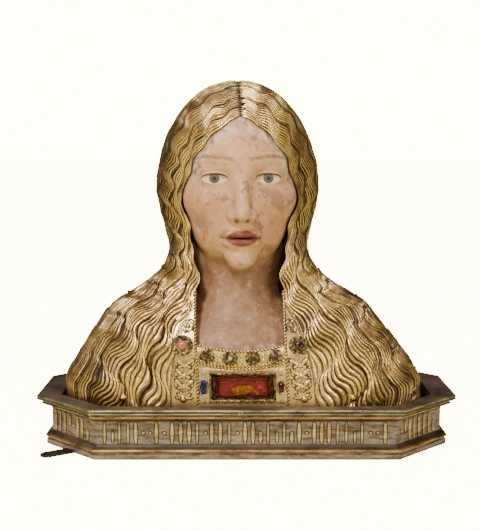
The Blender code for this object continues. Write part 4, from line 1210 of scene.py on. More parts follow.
        # dark outlines round the leaves, a dark halo at their foot and dark gaps between the ticks: dirt and painted
        # shade
        outline = np.exp(-(((total - 0.19) / 0.15) ** 2))
        contour = halo * smoothstep(0.45, 0.15, shape) * inside
        ground = 0.10 * (1 - smoothstep(0.30, 0.70, total))
        hollow = (ground + 0.70 * outline) * np.clip(inside + strip + central, 0, 1)
        hollow = np.clip(hollow + 0.75 * contour + 0.55 * strip * smoothstep(0.5, 0.1, tick), 0, 1)
        return total * settings.relief, hollow

    def open_holes(self, bm, window):
        """Removes the faces inside the neckline and inside the window."""
        panel = PANEL_HALF_WIDTH * FIGURE_HEIGHT
        left, right, low, high = self.window_edges(window)
        levels = np.linspace(-0.01, 0.13, 120)
        axis = section_at(levels)["axis"]
        gone = []
        for face in bm.faces:
            middle = face.calc_center_median()
            height = middle.z - BASE_HEIGHT
            from_axis = middle.x - float(np.interp(height, levels, axis))
            if abs(from_axis) < panel - 1e-4 and height > self.neckline(from_axis):
                gone.append(face)
            elif left + 1e-5 < middle.x < right - 1e-5 and low < height < high:
                gone.append(face)
        bmesh.ops.delete(bm, geom=gone, context="FACES")

    def ropes(self, settings):
        """Twisted wires along the bands' inner edges and along the neckline."""
        panel = PANEL_HALF_WIDTH * FIGURE_HEIGHT
        forms = []
        for side in (-1, 1):
            height = np.arange(-0.002, self.TOP, 0.0006)
            from_axis = np.full(len(height), side * (panel + settings.rope))
            forms.append(self.rope(settings, from_axis, height, settings.rope))
        across = np.arange(-panel + 0.0005, panel - 0.0004, 0.0006)
        for drop, radius in ((0.0005, 0.9), (0.0176, 0.9), (0.0206, 0.75)):
            forms.append(self.rope(settings, across, self.neckline(across) - drop, settings.rope * radius))
        return joined(forms)

    def rope(self, settings, from_axis, height, radius):
        """One twisted wire over the breast: a two-lobed section that turns as it goes."""
        axis = section_at(height)["axis"]
        rise = np.where(np.abs(from_axis) > PANEL_HALF_WIDTH * FIGURE_HEIGHT, settings.band_rise, 0)
        out = front_depth(from_axis + axis, height) + rise + radius * 0.55
        path = np.stack([from_axis + axis, -out, BASE_HEIGHT + height], -1)
        ahead = np.gradient(path, axis=0)
        ahead /= np.linalg.norm(ahead, axis=1)[:, None]
        away = np.array([0, -1.0, 0]) - ahead * (ahead @ np.array([0, -1.0, 0]))[:, None]
        away /= np.linalg.norm(away, axis=1)[:, None]
        beside = np.cross(ahead, away)
        steps = np.concatenate([[0], np.cumsum(np.linalg.norm(np.diff(path, axis=0), axis=1))])
        angle = np.linspace(0, math.tau, 11)[None, :]
        twist = np.cos(2 * angle - steps[:, None] * math.tau / 0.0040)
        lobes = radius * (1 + 0.30 * twist)
        points = path[:, None, :] + away[:, None, :] * (np.cos(angle) * lobes)[..., None]
        points = points + beside[:, None, :] * (np.sin(angle) * lobes)[..., None]
        # the grooves of the twist are painted darker: dirt and painted shade
        return closed_tube(points, {"hollow": 0.55 - 0.55 * twist})


def rectangle(half_x, half_y, share_y=1.0):
    """An outline function: the rectangle's corners, moved out by an outset, and by a share of it up and down."""

    def at(outset):
        x, y = half_x + outset, half_y + outset * share_y
        return [(x, -y), (x, y), (-x, y), (-x, -y)]

    return at


def oval(half_x, half_y, sides=40):
    """An outline function: points round an oval, moved out by an outset."""

    def at(outset):
        angles = [math.tau * k / sides for k in range(sides)]
        return [((half_x + outset) * math.cos(a), (half_y + outset) * math.sin(a)) for a in angles]

    return at


class RELIQUARY_OT_window(bpy.types.Operator):
    """Makes the window's frame, its crystal and the lined case behind"""

    bl_idname = "reliquary.window"
    bl_label = "Relic window"

    def execute(self, context):
        window = context.scene.reliquary_window
        place = front_place(WINDOW_X, WINDOW_LEVEL)
        outline = rectangle(window.width / 2, window.tall / 2)
        silver = oxidised_silver("oxidised_silver_frame")
        profile = [(0, 0.0005), (0, 0.0038), (-0.0004, 0.0046), (-0.0010, 0.0050), (-0.0017, 0.0047)]
        profile += [(-0.0021, 0.0040), (-window.wall, 0.0030), (-window.wall, 0.0005)]
        bm = ring_solid(outline, profile)
        bmesh.ops.subdivide_edges(bm, edges=[e for e in bm.edges if e.calc_length() > 0.02], cuts=24)
        placed(bm, place)
        add_piece("window_frame", bm, silver, ["window_collet"], smooth_angle=30)
        self.mount(window, place)
        self.crystal(place)
        return {"FINISHED"}

    def mount(self, window, place):
        """Sloping brown-grey sides from the frame down to the silk, then the case's own walls."""
        case = rectangle(window.width / 2 - 0.0040, window.tall / 2 - 0.0034, 0.36)
        material, tree, shader = new_material("tarnished_copper_mount")
        # bare copper gone brown-grey under the crystal, in 6 mm clouds
        colour = ramp_colour(tree, patches(tree, 6, 4.0), (0.32, "#24160F"), (0.52, "#5E402E"), (0.72, "#94705A"))
        set_inputs(tree, shader, {"Base Color": colour, "Metallic": 0.45, "Roughness": 0.45})
        inner = -0.0012
        profile = [(0, 0.0), (inner, 0.0), (-0.0050, -0.0040), (-0.0050, -0.0118)]
        profile += [(inner, -0.0118), (0, -0.0130)]
        bm = ring_solid(case, profile)
        round_off = {"offset": 0.0002, "offset_type": "OFFSET", "segments": 1, "profile": 0.5}
        bmesh.ops.bevel(bm, geom=bm.edges[:], affect="EDGES", material=-1, **round_off)
        floor = ring_solid(case, [(-0.0002, -0.0130), (-0.0002, -0.0119)], closed=False)
        whole = joined([bm, floor])
        placed(whole, place)
        add_piece("case_lining", whole, material, ["relic_case"], smooth_angle=30)

    def crystal(self, place):
        """The rock crystal plaque keeps its solid; it is clear, with plain values on the shader."""
        material, _, shader = new_material("rock_crystal")
        shader.inputs["Base Color"].default_value = linear("#FFFAF2")
        shader.inputs["Transmission Weight"].default_value = 1.0
        shader.inputs["Roughness"].default_value = 0.03
        shader.inputs["IOR"].default_value = 1.15
        node = frame["nodes"]["window_crystal"]
        node.data.materials.clear()
        node.data.materials.append(material)


class RELIQUARY_OT_relic(bpy.types.Operator):
    """Makes the silk cushion in the case, with a wrapped relic and its thread"""

    bl_idname = "reliquary.relic"
    bl_label = "Relic and silk"

    def execute(self, context):
        window = context.scene.reliquary_window
        place = front_place(WINDOW_X, WINDOW_LEVEL)
        half_x, half_y = window.width / 2 - 0.0092, window.tall / 2 - 0.0054
        self.silk(window, place, half_x, half_y)
        self.bundle(place)
        return {"FINISHED"}

    def silk(self, window, place, half_x, half_y):
        """A pad of red silk, crowned in the middle and drawn down at its edges."""
        x = np.linspace(-half_x, half_x, 91)[None, :]
        y = np.linspace(-half_y, half_y, 41)[:, None]
        crown = (1 - (x / half_x) ** 6) * (1 - (y / half_y) ** 6)
        chance = np.random.default_rng(SEED + 20)
        ripple = 0.00012 * np.sin(x * math.tau / 0.009 + 3 * wander(y * 500, SEED + 21)) * (0.4 + 0.6 * crown)
        fold = -0.0006 * np.exp(-(((y - half_y * 0.62 - 0.0006 * wander(x * 120, SEED + 22)) / 0.0005) ** 2))
        z = -0.0072 + 0.0022 * crown + ripple + fold + 0.00003 * chance.normal(size=crown.shape)
        bm = bent_grid(np.stack(np.broadcast_arrays(x, y, z), -1))
        edges = [e for e in bm.edges if e.is_boundary]
        made = bmesh.ops.extrude_edge_only(bm, edges=edges)
        for vert in [v for v in made["geom"] if isinstance(v, bmesh.types.BMVert)]:
            vert.co.z = -0.0117
        bmesh.ops.holes_fill(bm, edges=[e for e in bm.edges if e.is_boundary])
        placed(bm, place)
        material, tree, shader = new_material("red_silk")
        # plain silk: a soft sheen, threads 0.25 mm apart drawn at 0.6 mm so that they show
        shade = patches(tree, 7, 4.0)
        colour = ramp_colour(tree, shade, (0.30, "#5E0710"), (0.55, tuple(window.silk)), (0.75, "#A81A20"))
        inputs = {"Vector": object_place(tree), "Scale": 260.0, "Distortion": 0.6}
        weave = add_node(tree, "ShaderNodeTexWave", inputs, bands_direction="X").outputs["Fac"]
        normal = bump(tree, weave, 0.25, 0.0001)
        inputs = {"Base Color": colour, "Roughness": 0.5, "Sheen Weight": 0.4, "Normal": normal}
        set_inputs(tree, shader, inputs)
        piece = add_piece("silk_pad", bm, material, smooth_angle=50)

    def bundle(self, place):
        """A small relic wrapped in ochre cloth, bound with thread that ends in a loop, and two pins."""
        bm = bmesh.new()
        bmesh.ops.create_uvsphere(bm, u_segments=72, v_segments=40, radius=1)
        for vert in bm.verts:
            x, y, z = vert.co
            lump = 1 + 0.10 * math.sin(5 * x + 1) * math.cos(4 * y) + 0.05 * math.sin(11 * x + 6 * z)
            wrap = 0.05 * math.sin(16 * x + 5 * y)
            ends = 1 - 0.35 * abs(x) ** 3
            vert.co = (x * 0.0125, y * 0.0052 * lump * ends + 0.0007 * x, z * 0.0020 * (lump + wrap))
        bmesh.ops.translate(bm, verts=bm.verts, vec=(-0.0010, -0.0035, -0.0042))
        material, tree, shader = new_material("ochre_linen")
        shade = patches(tree, 3, 4.0, 0.7)
        colour = ramp_colour(tree, shade, (0.30, "#6E3F10"), (0.52, "#B0701E"), (0.74, "#D79B3C"))
        weave = bump(tree, patches(tree, 0.7), 0.6, 0.0002)
        set_inputs(tree, shader, {"Base Color": colour, "Roughness": 0.7, "Normal": weave})
        forms = [bm]
        turn = np.linspace(0, 1, 60)
        loop_x = 0.0125 + 0.0058 * np.sin(turn * 5.2) * (1 - 0.35 * turn)
        loop_y = -0.0035 + 0.0048 * np.cos(turn * 5.2 + 1.9) * (1 - 0.3 * turn)
        loop = np.stack([loop_x, loop_y, np.full(60, -0.0044)], -1)
        forms.append(tube(loop, 0.00042))
        for place_x in (-0.0068, -0.0030, 0.0012, 0.0050):
            t = np.linspace(-1.75, 1.75, 24)
            band = np.stack([place_x + 0.0004 * t, -0.0035 + 0.0050 * np.sin(t), -0.0044 + 0.0023 * np.cos(t)], -1)
            forms.append(tube(band, 0.00028))
        whole = joined(forms)
        placed(whole, place)
        add_piece("wrapped_relic", whole, material, smooth_angle=60)
        pins = []
        for x in (-0.0080, -0.0052, 0.0046):
            pin = bmesh.new()
            bmesh.ops.create_uvsphere(pin, u_segments=12, v_segments=8, radius=0.00055)
            bmesh.ops.translate(pin, verts=pin.verts, vec=(x, -0.0078, -0.0046))
            pins.append(pin)
        heads = joined(pins)
        placed(heads, place)
        add_piece("relic_pins", heads, oxidised_silver("blackened_pins"), smooth_angle=60)


def tube(path, radius):
    """A wire of a given radius along a path of points."""
    ahead = np.gradient(path, axis=0)
    ahead /= np.maximum(np.linalg.norm(ahead, axis=1), 1e-12)[:, None]
    up = np.array([0.03, 0.05, 1.0])
    beside = np.cross(ahead, up)
    beside /= np.maximum(np.linalg.norm(beside, axis=1), 1e-12)[:, None]
    away = np.cross(beside, ahead)
    angle = np.linspace(0, math.tau, 9)[None, :]
    points = path[:, None, :] + beside[:, None, :] * (np.cos(angle) * radius)[..., None]
    return closed_tube(points + away[:, None, :] * (np.sin(angle) * radius)[..., None])


def wire_ring(x, y, radius, thick, height, beaded=0):
    """A ring of wire in the plane, plain or beaded."""
    around = np.linspace(0, math.tau, 6 * max(beaded, 6) + 1)
    path = np.stack([x + radius * np.cos(around), y + radius * np.sin(around), np.full(len(around), height)], -1)
    if beaded:
        thick = thick * (0.62 + 0.38 * np.abs(np.sin(around * beaded / 2)))[:, None]
    thick = thick * np.ones((len(around), 1))
    angle = np.linspace(0, math.tau, 9)[None, :]
    outwards = np.stack([np.cos(around), np.sin(around), np.zeros(len(around))], -1)
    points = path[:, None, :] + outwards[:, None, :] * (np.cos(angle) * thick)[..., None]
    bm = bent_grid(points + np.array([0, 0, 1.0]) * (np.sin(angle) * thick)[..., None])
    bmesh.ops.remove_doubles(bm, verts=bm.verts, dist=WELD)
    return bm


def bead(x, y, z, radius, flat=1.0, segments=12):
    bm = bmesh.new()
    bmesh.ops.create_uvsphere(bm, u_segments=segments, v_segments=max(segments // 2, 6), radius=radius)
    bmesh.ops.scale(bm, vec=(1, 1, flat), verts=bm.verts)
    bmesh.ops.translate(bm, vec=(x, y, z), verts=bm.verts)
    return bm


def cabochon(half_x, half_y, foot, rise, place, sides=40):
    """A polished domed stone on an oval foot."""
    rings = [(0.0, foot), (0.0, foot + rise * 0.18)]
    small = min(half_x, half_y)
    for k in range(1, 9):
        angle = math.pi / 2 * k / 8.6
        rings.append((small * (math.cos(angle) - 1), foot + rise * (0.18 + 0.82 * math.sin(angle))))
    bm = ring_solid(oval(half_x, half_y, sides), rings, closed=False)
    placed(bm, place)
    return bm


# Stones and settings


class RELIQUARY_OT_rosettes(bpy.types.Operator):
    """Makes the four filigree rosettes of the neckline and their small stones"""

    bl_idname = "reliquary.rosettes"
    bl_label = "Neckline rosettes"
    COUNT = 4
    PITCH = 0.0702
    LEVEL = 0.1385
    RADIUS = 0.0092

    def execute(self, context):
        silver = oxidised_silver("oxidised_silver_filigree")
        colours = (("#2A070C", "#5E1820"), ("#B9A88A", "#EFE3C4"), ("#14100E", "#3A2C22"), ("#2A0714", "#6E1E3A"))
        for number in range(self.COUNT):
            offset = (number - (self.COUNT - 1) / 2) * self.PITCH
            level = (self.LEVEL + NECKLINE_RISE * (offset / PANEL_HALF_WIDTH) ** 2 / 2) * FIGURE_HEIGHT
            x = float(section_at(self.LEVEL * FIGURE_HEIGHT)["axis"]) + offset * FIGURE_HEIGHT
            place = front_place(x, level) @ Matrix.Rotation(math.radians(11 * number), 4, "Z")
            bm = joined(self.filigree())
            placed(bm, place)
            add_piece(f"rosette_work_{number + 1}", bm, silver, [f"rosette_{number + 1}"], 50)
            stone = cabochon(0.0023, 0.0023, 0.0018, 0.0019, place, 24)
            colour = cut_stone(f"rosette_paste_{number + 1}", *colours[number])
            add_piece(f"rosette_gem_{number + 1}", stone, colour, [f"rosette_stone_{number + 1}"], 60)
        gold = gilt_copper("gilt_copper_spacers", "#EFCF8E", "#3A2412", 0.7)
        spacers = []
        for number in range(self.COUNT + 1):
            offset = (number - self.COUNT / 2) * self.PITCH * 0.965
            level = (self.LEVEL + NECKLINE_RISE * (offset / PANEL_HALF_WIDTH) ** 2 / 2) * FIGURE_HEIGHT
            x = float(section_at(self.LEVEL * FIGURE_HEIGHT)["axis"]) + offset * FIGURE_HEIGHT
            for lift in (-0.0027, 0.0027):
                spacer = bead(0, 0, 0.0004, 0.0021, 0.7, 16)
                placed(spacer, front_place(x, level + lift))
                spacers.append(spacer)
        add_piece("neckline_beads", joined(spacers), gold, smooth_angle=60)
        return {"FINISHED"}

    def filigree(self):
        """A lobed plate with a loop of wire on each petal, granules between, and a collet in the eye."""
        r = self.RADIUS
        petals = 8

        def lobed(outset):
            points = []
            for k in range(96):
                angle = math.tau * k / 96
                radius = (r + outset) * (0.86 + 0.14 * abs(math.cos(angle * petals / 2)) ** 0.6)
                points.append((radius * math.cos(angle), radius * math.sin(angle)))
            return points

        plate = [(0, 0.0005), (0, 0.0009), (-0.0006, 0.0013), (-0.0030, 0.0016), (-0.0062, 0.0017)]
        forms = [ring_solid(lobed, plate, closed=False)]
        for k in range(petals):
            angle = math.tau * k / petals
            forms.append(wire_ring(0.66 * r * math.cos(angle), 0.66 * r * math.sin(angle), 0.0019, 0.00042, 0.0020))
            forms.append(bead(0.66 * r * math.cos(angle), 0.66 * r * math.sin(angle), 0.0019, 0.00085))
            between = angle + math.pi / petals
            forms.append(bead(0.86 * r * math.cos(between), 0.86 * r * math.sin(between), 0.0017, 0.00062, segments=8))
            forms.append(bead(0.42 * r * math.cos(between), 0.42 * r * math.sin(between), 0.0020, 0.00055, segments=8))
        forms.append(wire_ring(0, 0, 0.0030, 0.00062, 0.0022, beaded=16))
        return forms


class RELIQUARY_OT_roundels(bpy.types.Operator):
    """Makes the two filigree roundels on the bands, one with coral and one with dark glass"""

    bl_idname = "reliquary.roundels"
    bl_label = "Roundels"
    OUT = 0.0447
    LEVEL = 0.176

    def execute(self, context):
        silver = oxidised_silver("oxidised_silver_roundel")
        rows = (
            ("coral", (0.0128, 0.0122), -1, ("#8C3A2C", "#C9705A"), 0.35, 0, "coral"),
            ("dark", (0.0124, 0.0108), 1, ("#120A08", "#3A1A16"), 0.12, -14, "dark_glass"),
        )
        for name, half, side, colours, rough, tilt, slot in rows:
            level = self.LEVEL * FIGURE_HEIGHT
            x = float(section_at(level)["axis"]) + side * (PANEL_HALF_WIDTH + self.OUT) * FIGURE_HEIGHT
            place = front_place(x, level, 0.0012) @ Matrix.Rotation(math.radians(tilt), 4, "Z")
            bm = joined(self.filigree(half))
            placed(bm, place)
            add_piece(f"{name}_roundel", bm, silver, [f"{name}_setting"], smooth_angle=50)
            stone = cabochon(half[0] * 0.48, half[1] * 0.46, 0.0012, 0.0040, place)
            paste = cut_stone(f"{name}_stone", *colours, rough)
            add_piece(f"{name}_cabochon", stone, paste, [f"{name}_stone"], 60)
        return {"FINISHED"}

    def filigree(self, half):
        """A dished plate with scrolls of wire, granules and a claw collet round the stone."""
        forms = []
        plate = [(0, 0.0004), (0, 0.0016), (-0.0008, 0.0021), (-0.0020, 0.0015), (-0.0058, 0.0013), (-0.0100, 0.0013)]
        forms.append(ring_solid(oval(half[0], half[1], 72), plate, closed=False))
        rim = min(half) - 0.0011
        forms.append(wire_ring(0, 0, rim, 0.00075, 0.0023, beaded=34))
        count = 9
        for k in range(count):
            angle = math.tau * k / count + 0.2
            x, y = 0.70 * half[0] * math.cos(angle), 0.70 * half[1] * math.sin(angle)
            forms.append(wire_ring(x, y, 0.0019, 0.00045, 0.0021))
            forms.append(bead(x, y, 0.0021, 0.0009))
            between = angle + math.pi / count
            x, y = 0.80 * half[0] * math.cos(between), 0.80 * half[1] * math.sin(between)
            forms.append(bead(x, y, 0.0020, 0.0008, segments=8))
        forms.append(wire_ring(0, 0, min(half) * 0.50, 0.00080, 0.0024, beaded=20))
        return forms


class RELIQUARY_OT_side_stones(bpy.types.Operator):
    """Makes the blue and the red stone beside the window, with the small pearls over and under them"""

    bl_idname = "reliquary.side_stones"
    bl_label = "Stones beside the window"
    SIDE_GAP = 0.0008
    PEARL_OUT = 0.0155
    PEARL = 0.0026

    def execute(self, context):
        window = context.scene.reliquary_window
        pale = base_metal("rubbed_silver_collets", "#D8D0BC", "#4A4236", 5, 0.85, 0.36)
        pearl = cut_stone("baroque_pearl", "#766A5C", "#BFB39F", 0.28)
        rows = (
            ("blue", (0.0056, 0.0102), -1, ("#050919", "#1E2F6E"), "blue_glass"),
            ("red", (0.0050, 0.0087), 1, ("#170305", "#54101A"), "garnet"),
        )
        for name, half, side, colours, slot in rows:
            x = WINDOW_X + side * (window.width / 2 + self.SIDE_GAP + half[0])
            place = front_place(x, WINDOW_LEVEL)
            wall = [(0, 0.0005), (0.0001, 0.0012), (-0.0003, 0.0033), (-0.0010, 0.0041)]
            wall += [(-0.0016, 0.0038), (-0.0017, 0.0005)]
            bm = ring_solid(oval(*half, 48), wall)
            placed(bm, place)
            add_piece(f"{name}_collet", bm, pale, [f"{name}_setting"], smooth_angle=50)
            stone = cabochon(half[0] - 0.0015, half[1] - 0.0015, 0.0006, 0.0046, place)
            add_piece(f"{name}_gem", stone, cut_stone(f"{name}_paste", *colours), [f"{name}_stone"], 60)
            for level, height in (("upper", WINDOW_LEVEL + self.PEARL_OUT), ("lower", WINDOW_LEVEL - self.PEARL_OUT)):
                spot = front_place(x, max(height, self.PEARL))
                cup = wire_ring(0, 0, self.PEARL * 0.92, 0.0005, 0.0009, beaded=12)
                stud = bead(0, 0, 0.0010, self.PEARL * 0.82, 0.85, 20)
                placed(cup, spot)
                placed(stud, spot)
                add_piece(f"{level}_cup_{name}", cup, pale, smooth_angle=60)
                node = f"{level}_pearl_by_{name}"
                add_piece(f"{level}_bead_{name}", stud, pearl, [node], 60)
        return {"FINISHED"}


class RELIQUARY_OT_fixings(bpy.types.Operator):
    """Makes the domed studs along the foot of the hair and the pin holes at the crown"""

    bl_idname = "reliquary.fixings"
    bl_label = "Studs and pin holes"
    SPREAD = (-0.643, -0.320, 0.325, 0.587)
    LEVEL = 0.0055

    def execute(self, context):
        gold = gilt_copper("gilt_copper_studs", "#E6B765", "#5A3A1A", 0.6)
        section = section_at(self.LEVEL)
        for number, share in enumerate(self.SPREAD, 1):
            place = front_place(float(section["axis"] + share * section["wide"]), self.LEVEL, 0.0012)
            stud = bead(0, 0, 0.0010, 0.0038, 0.8, 28)
            collar = wire_ring(0, 0, 0.0036, 0.0006, 0.0010)
            bm = joined([stud, collar])
            placed(bm, place)
            add_piece(f"stud_{number}", bm, gold, [f"fixing_stud_{number}"], smooth_angle=60)
        self.pin_holes()
        return {"FINISHED"}

    def pin_holes(self):
        """Two worn holes over the parting, each a flattened dark cup."""
        material, _, shader = new_material("painted_shade_in_holes")
        shader.inputs["Base Color"].default_value = linear("#0A0705")
        shader.inputs["Roughness"].default_value = 0.9
        ears = EARS * FIGURE_HEIGHT
        crown = FIGURE_HEIGHT - ears
        depth = float(section_at(ears)["front"])
        cups = []
        for share, radius in ((0.9322, 0.0019), (0.9135, 0.0024)):
            slope = math.acos((share * FIGURE_HEIGHT - ears) / crown)
            x = -0.0134 * FIGURE_HEIGHT + 0.0007
            spot = Vector((x, -depth * math.sin(slope), BASE_HEIGHT + share * FIGURE_HEIGHT))
            out = Vector((0, -math.sin(slope) / depth, math.cos(slope) / crown)).normalized()
            place = Matrix.Translation(spot + out * 0.0011) @ out.to_track_quat("Z", "Y").to_matrix().to_4x4()
            # a near black flattened cup stands in for each hole's depth: painted shade
            cup = bead(0, 0, 0, radius, 0.35, 20)
            placed(cup, place)
            cups.append(cup)
        add_piece("pin_hole_cups", joined(cups), material, smooth_angle=60)


# The base


def octagon(outset):
    """The eight corners of the base's plan, moved out from the rim by outset, anticlockwise from the right."""
    half_x, half_y = BASE_WIDTH / 2, BASE_DEPTH / 2
    front, side = BASE_FRONT_LENGTH / 2, BASE_SIDE_LENGTH / 2
    turn = math.atan2(half_y - side, half_x - front)
    front += outset * math.tan(turn / 2)
    side += outset * math.tan((math.pi / 2 - turn) / 2)
    right = [(half_x + outset, side), (front, half_y + outset)]
    rear = right + [(-x, y) for x, y in reversed(right)]
    return rear + [(-x, -y) for x, y in rear]


class RELIQUARY_OT_base(bpy.types.Operator):
    """Makes the base's mouldings in their worn finishes"""

    bl_idname = "reliquary.base"
    bl_label = "Base mouldings"
    # setback from the rim and height over the floor in millimetres, and the finish of the strip that follows
    PROFILE = (
        (28.0, 58.0, "ledge"),
        (2.4, 59.8, "edge"),
        (1.4, 60.0, "edge"),
        (0.6, 59.6, "edge"),
        (0.1, 58.9, "edge"),
        (0.5, 58.3, "fascia"),
        (0.5, 55.9, "edge"),
        (0.1, 55.3, "edge"),
        (0.5, 54.9, "groove"),
        (1.2, 54.4, "groove"),
        (5.6, 53.9, "groove"),
        (7.4, 53.0, "ground"),
        (7.3, 51.4, "bead"),
        (6.7, 51.0, "bead"),
        (6.3, 50.3, "bead"),
        (6.3, 49.6, "bead"),
        (6.8, 48.9, "bead"),
        (7.6, 48.6, "ground"),
        (9.4, 48.0, "ground"),
        (10.8, 47.2, "ground"),
        (13.2, 46.4, "groove"),
        (15.4, 45.3, "groove"),
        (17.0, 44.0, "groove"),
        (17.5, 42.8, "ground"),
        (17.5, 16.6, "groove"),
        (17.0, 15.2, "ledge"),
        (15.6, 13.8, "ledge"),
        (11.6, 12.0, "bead"),
        (10.2, 11.7, "bead"),
        (9.6, 11.1, "bead"),
        (9.4, 10.3, "bead"),
        (9.7, 9.5, "bead"),
        (10.4, 9.0, "groove"),
        (12.2, 8.2, "ground"),
        (12.2, 6.4, "ground"),
        (10.9, 5.9, "foot"),
        (10.7, 5.3, "foot"),
        (10.7, 1.5, "groove"),
        (11.2, 0.0, "groove"),
        (28.0, 0.0, "groove"),
    )
    FINISHES = ("ledge", "edge", "fascia", "groove", "ground", "bead", "foot")
    SPACING = {"upright": 0.0092, "low": 0.0084, "high": 0.0084, "dot": 0.0078}
    # section of the wider dark copy under each stroke: its painted shadow
    BED = ((-0.5, -0.0003), (-0.48, 0.0002), (0.48, 0.0002), (0.5, -0.0003), (-0.5, -0.0003))
    STROKE = ((-0.5, -0.0003), (-0.42, 0.0008), (-0.15, 0.0011))
    STROKE += ((0.15, 0.0011), (0.42, 0.0008), (0.5, -0.0003), (-0.5, -0.0003))

    def execute(self, context):
        settings = context.scene.reliquary_base
        rings = []
        for setback, height, _ in self.PROFILE + self.PROFILE[:1]:
            rings.append(self.outline(settings, -setback / 1000, height / 1000))
        points = np.array(rings)
        bm = bent_grid(points)
        columns = points.shape[1] - 1
        bm.faces.ensure_lookup_table()
        for index, face in enumerate(bm.faces):
            face.material_index = self.FINISHES.index(self.PROFILE[index // columns][2])
        bmesh.ops.remove_doubles(bm, verts=bm.verts, dist=1e-7)
        materials = [
            base_metal("sooted_ledge", "#5E5046", "#261C16", 20, 0.25, 0.5),
            base_metal("rubbed_gilt_edge", "#B3A582", "#3A311F", 10, 0.7, 0.42),
            base_metal("green_gilt_fascia", "#4D4A35", "#13140D", 10, 0.3, 0.5),
            # the grooves, the undersides of the overhangs and the base's underside are darkened: dirt and painted
            # shade
            base_metal("grooves_dirt_and_shade", "#4A3A2E", "#1C1410", 20, 0.2, 0.6),
            base_metal("rosy_ground", "#998986", "#3F3330", 8, 0.3, 0.5),
            base_metal("gilt_beads", "#CDA878", "#6E4E2E", 10, 0.8, 0.36),
            base_metal("rosy_foot", "#A08C8C", "#4A3A38", 9, 0.3, 0.5),
        ]
        add_piece("base_mouldings", bm, materials, ["base_frame"], smooth_angle=38)
        # painted shadow: a wider dark copy under each stroke
        add_piece("frieze_stroke_shadows", self.strokes(settings, True), materials[3], smooth_angle=30)
        gilt = base_metal("gilt_strokes", "#E4CE9A", "#8A6F44", 8, 0.8, 0.38)
        add_piece("frieze_strokes", self.strokes(settings, False), gilt, smooth_angle=30)
        self.pins()
        self.board_and_strap()
        return {"FINISHED"}

    def outline(self, settings, outset, height):
        """Points round the octagon with a thin seam at each corner, the old edges wandering a little."""
        corners = [np.array(c) for c in octagon(outset)]
        points = []
        seam = 0.0009 if 0.001 < height < 0.059 and outset > -0.02 else 0.0
        for k, corner in enumerate(corners):
            after = corners[(k + 1) % len(corners)]
            line = after - corner
            long = np.linalg.norm(line)
            line = line / long
            inward = np.array([-line[1], line[0]])
            points.append(corner * (1 - seam / np.linalg.norm(corner)))
            count = 44 if long > 0.2 else 14
            stops = np.concatenate([[0.0005], np.linspace(0.004, long - 0.004, count), [long - 0.0005]])
            for stop in stops:
                spot = corner + line * stop
                worn = wander(np.array(stop * 60 + k * 9.1), SEED + 30 + int(height * 400), 4)
                dent = 0.0 if outset < -0.026 else settings.dent * float(worn)
                points.append(spot + inward * max(dent, 0.0))
        points.append(points[0])
        return [(x, y, height) for x, y in points]

    def strokes(self, settings, bed):
        """Rows of raised strokes in the frieze, none of them a letter, or, with bed, a wider dark copy under each,
        which is their painted shadow.
        """
        chance = np.random.default_rng(SEED + 40)
        corners = [np.array(c) for c in octagon(-FRIEZE_SETBACK)]
        middle = 0.0297
        forms = []
        for k, corner in enumerate(corners):
            after = corners[(k + 1) % len(corners)]
            line = after - corner
            long = np.linalg.norm(line)
            line = line / long
            out = np.array([line[1], -line[0]])
            at = 0.009
            while at < long - 0.010:
                kind = str(chance.choice(["upright", "low", "high", "dot"], p=[0.58, 0.16, 0.12, 0.14]))
                half = settings.stroke_tall / 2
                t = np.linspace(-1, 1, 15)
                wide = settings.stroke_wide * (1.12 - 0.62 * t**2) * chance.choice([0.75, 1.25])
                rise = t * half
                if kind == "low":
                    rise = (t * 0.52 - 0.42) * half
                elif kind == "high":
                    rise = (t * 0.52 + 0.42) * half
                elif kind == "dot":
                    rise = t * 0.0014
                    wide = 0.0034 * np.sqrt(np.clip(1 - t**2, 0.05, 1))
                forms.append(self.stroke(corner + line * at, line, out, middle + rise, wide, bed))
                at += self.SPACING[kind] * chance.uniform(0.9, 1.15)
        return joined(forms)

    def stroke(self, foot, line, out, height, wide, bed):
        """One raised stroke with sloping sides, its foot just inside the frieze."""
        if bed:
            # the painted shadow: wider than the stroke, a little longer, and flat
            wide = wide + 0.0022
            height = height + np.sign(height - height.mean()) * 0.0007
        points = []
        for z, w in zip(height, wide):
            spots = [foot + line * across * w + out * rise for across, rise in (self.BED if bed else self.STROKE)]
            points.append([(x, y, z) for x, y in spots])
        return closed_tube(np.array(points))

    def pins(self):
        """Nail heads in the mouldings and two small scrolls of wire, each with a bead, on the fascia."""
        dark = base_metal("iron_nails", "#3A3029", "#14100D", 3, 0.6, 0.5)
        front = -BASE_DEPTH / 2
        forms = []
        for x, setback, height in ((-0.080, 9.2, 0.0480), (0.034, 9.2, 0.0480), (0.128, 9.2, 0.0480)):
            forms.append(bead(x, front + setback / 1000, height, 0.0025, 0.8, 16))
        for share, height in ((0.30, 0.0468), (0.62, 0.0466)):
            a, b = (np.array(c) for c in octagon(-0.0125)[4:6])
            spot = a + (b - a) * share
            forms.append(bead(spot[0], spot[1], height, 0.0020, 0.8, 16))
        add_piece("frieze_nails", joined(forms), dark, smooth_angle=60)
        gold = base_metal("gilt_trinkets", "#D9C08A", "#7A6036", 4, 0.9, 0.4)
        forms = []
        for x, scale in ((-0.1725, 1.0), (-0.006, 0.8)):
            t = np.linspace(0, 1, 40)
            curl_x = x + 0.0052 * scale * t * np.cos(t * 4.4)
            curl_z = 0.0569 + 0.0030 * scale * np.sin(t * 4.8)
            curl = np.stack([curl_x, front + 0.0007 - 0.0001 * t, curl_z], -1)
            forms.append(tube(curl, 0.00055))
            forms.append(bead(x + 0.0004, front + 0.0012, 0.0572, 0.0011, 0.8, 12))
        add_piece("fascia_scrolls", joined(forms), gold, smooth_angle=60)

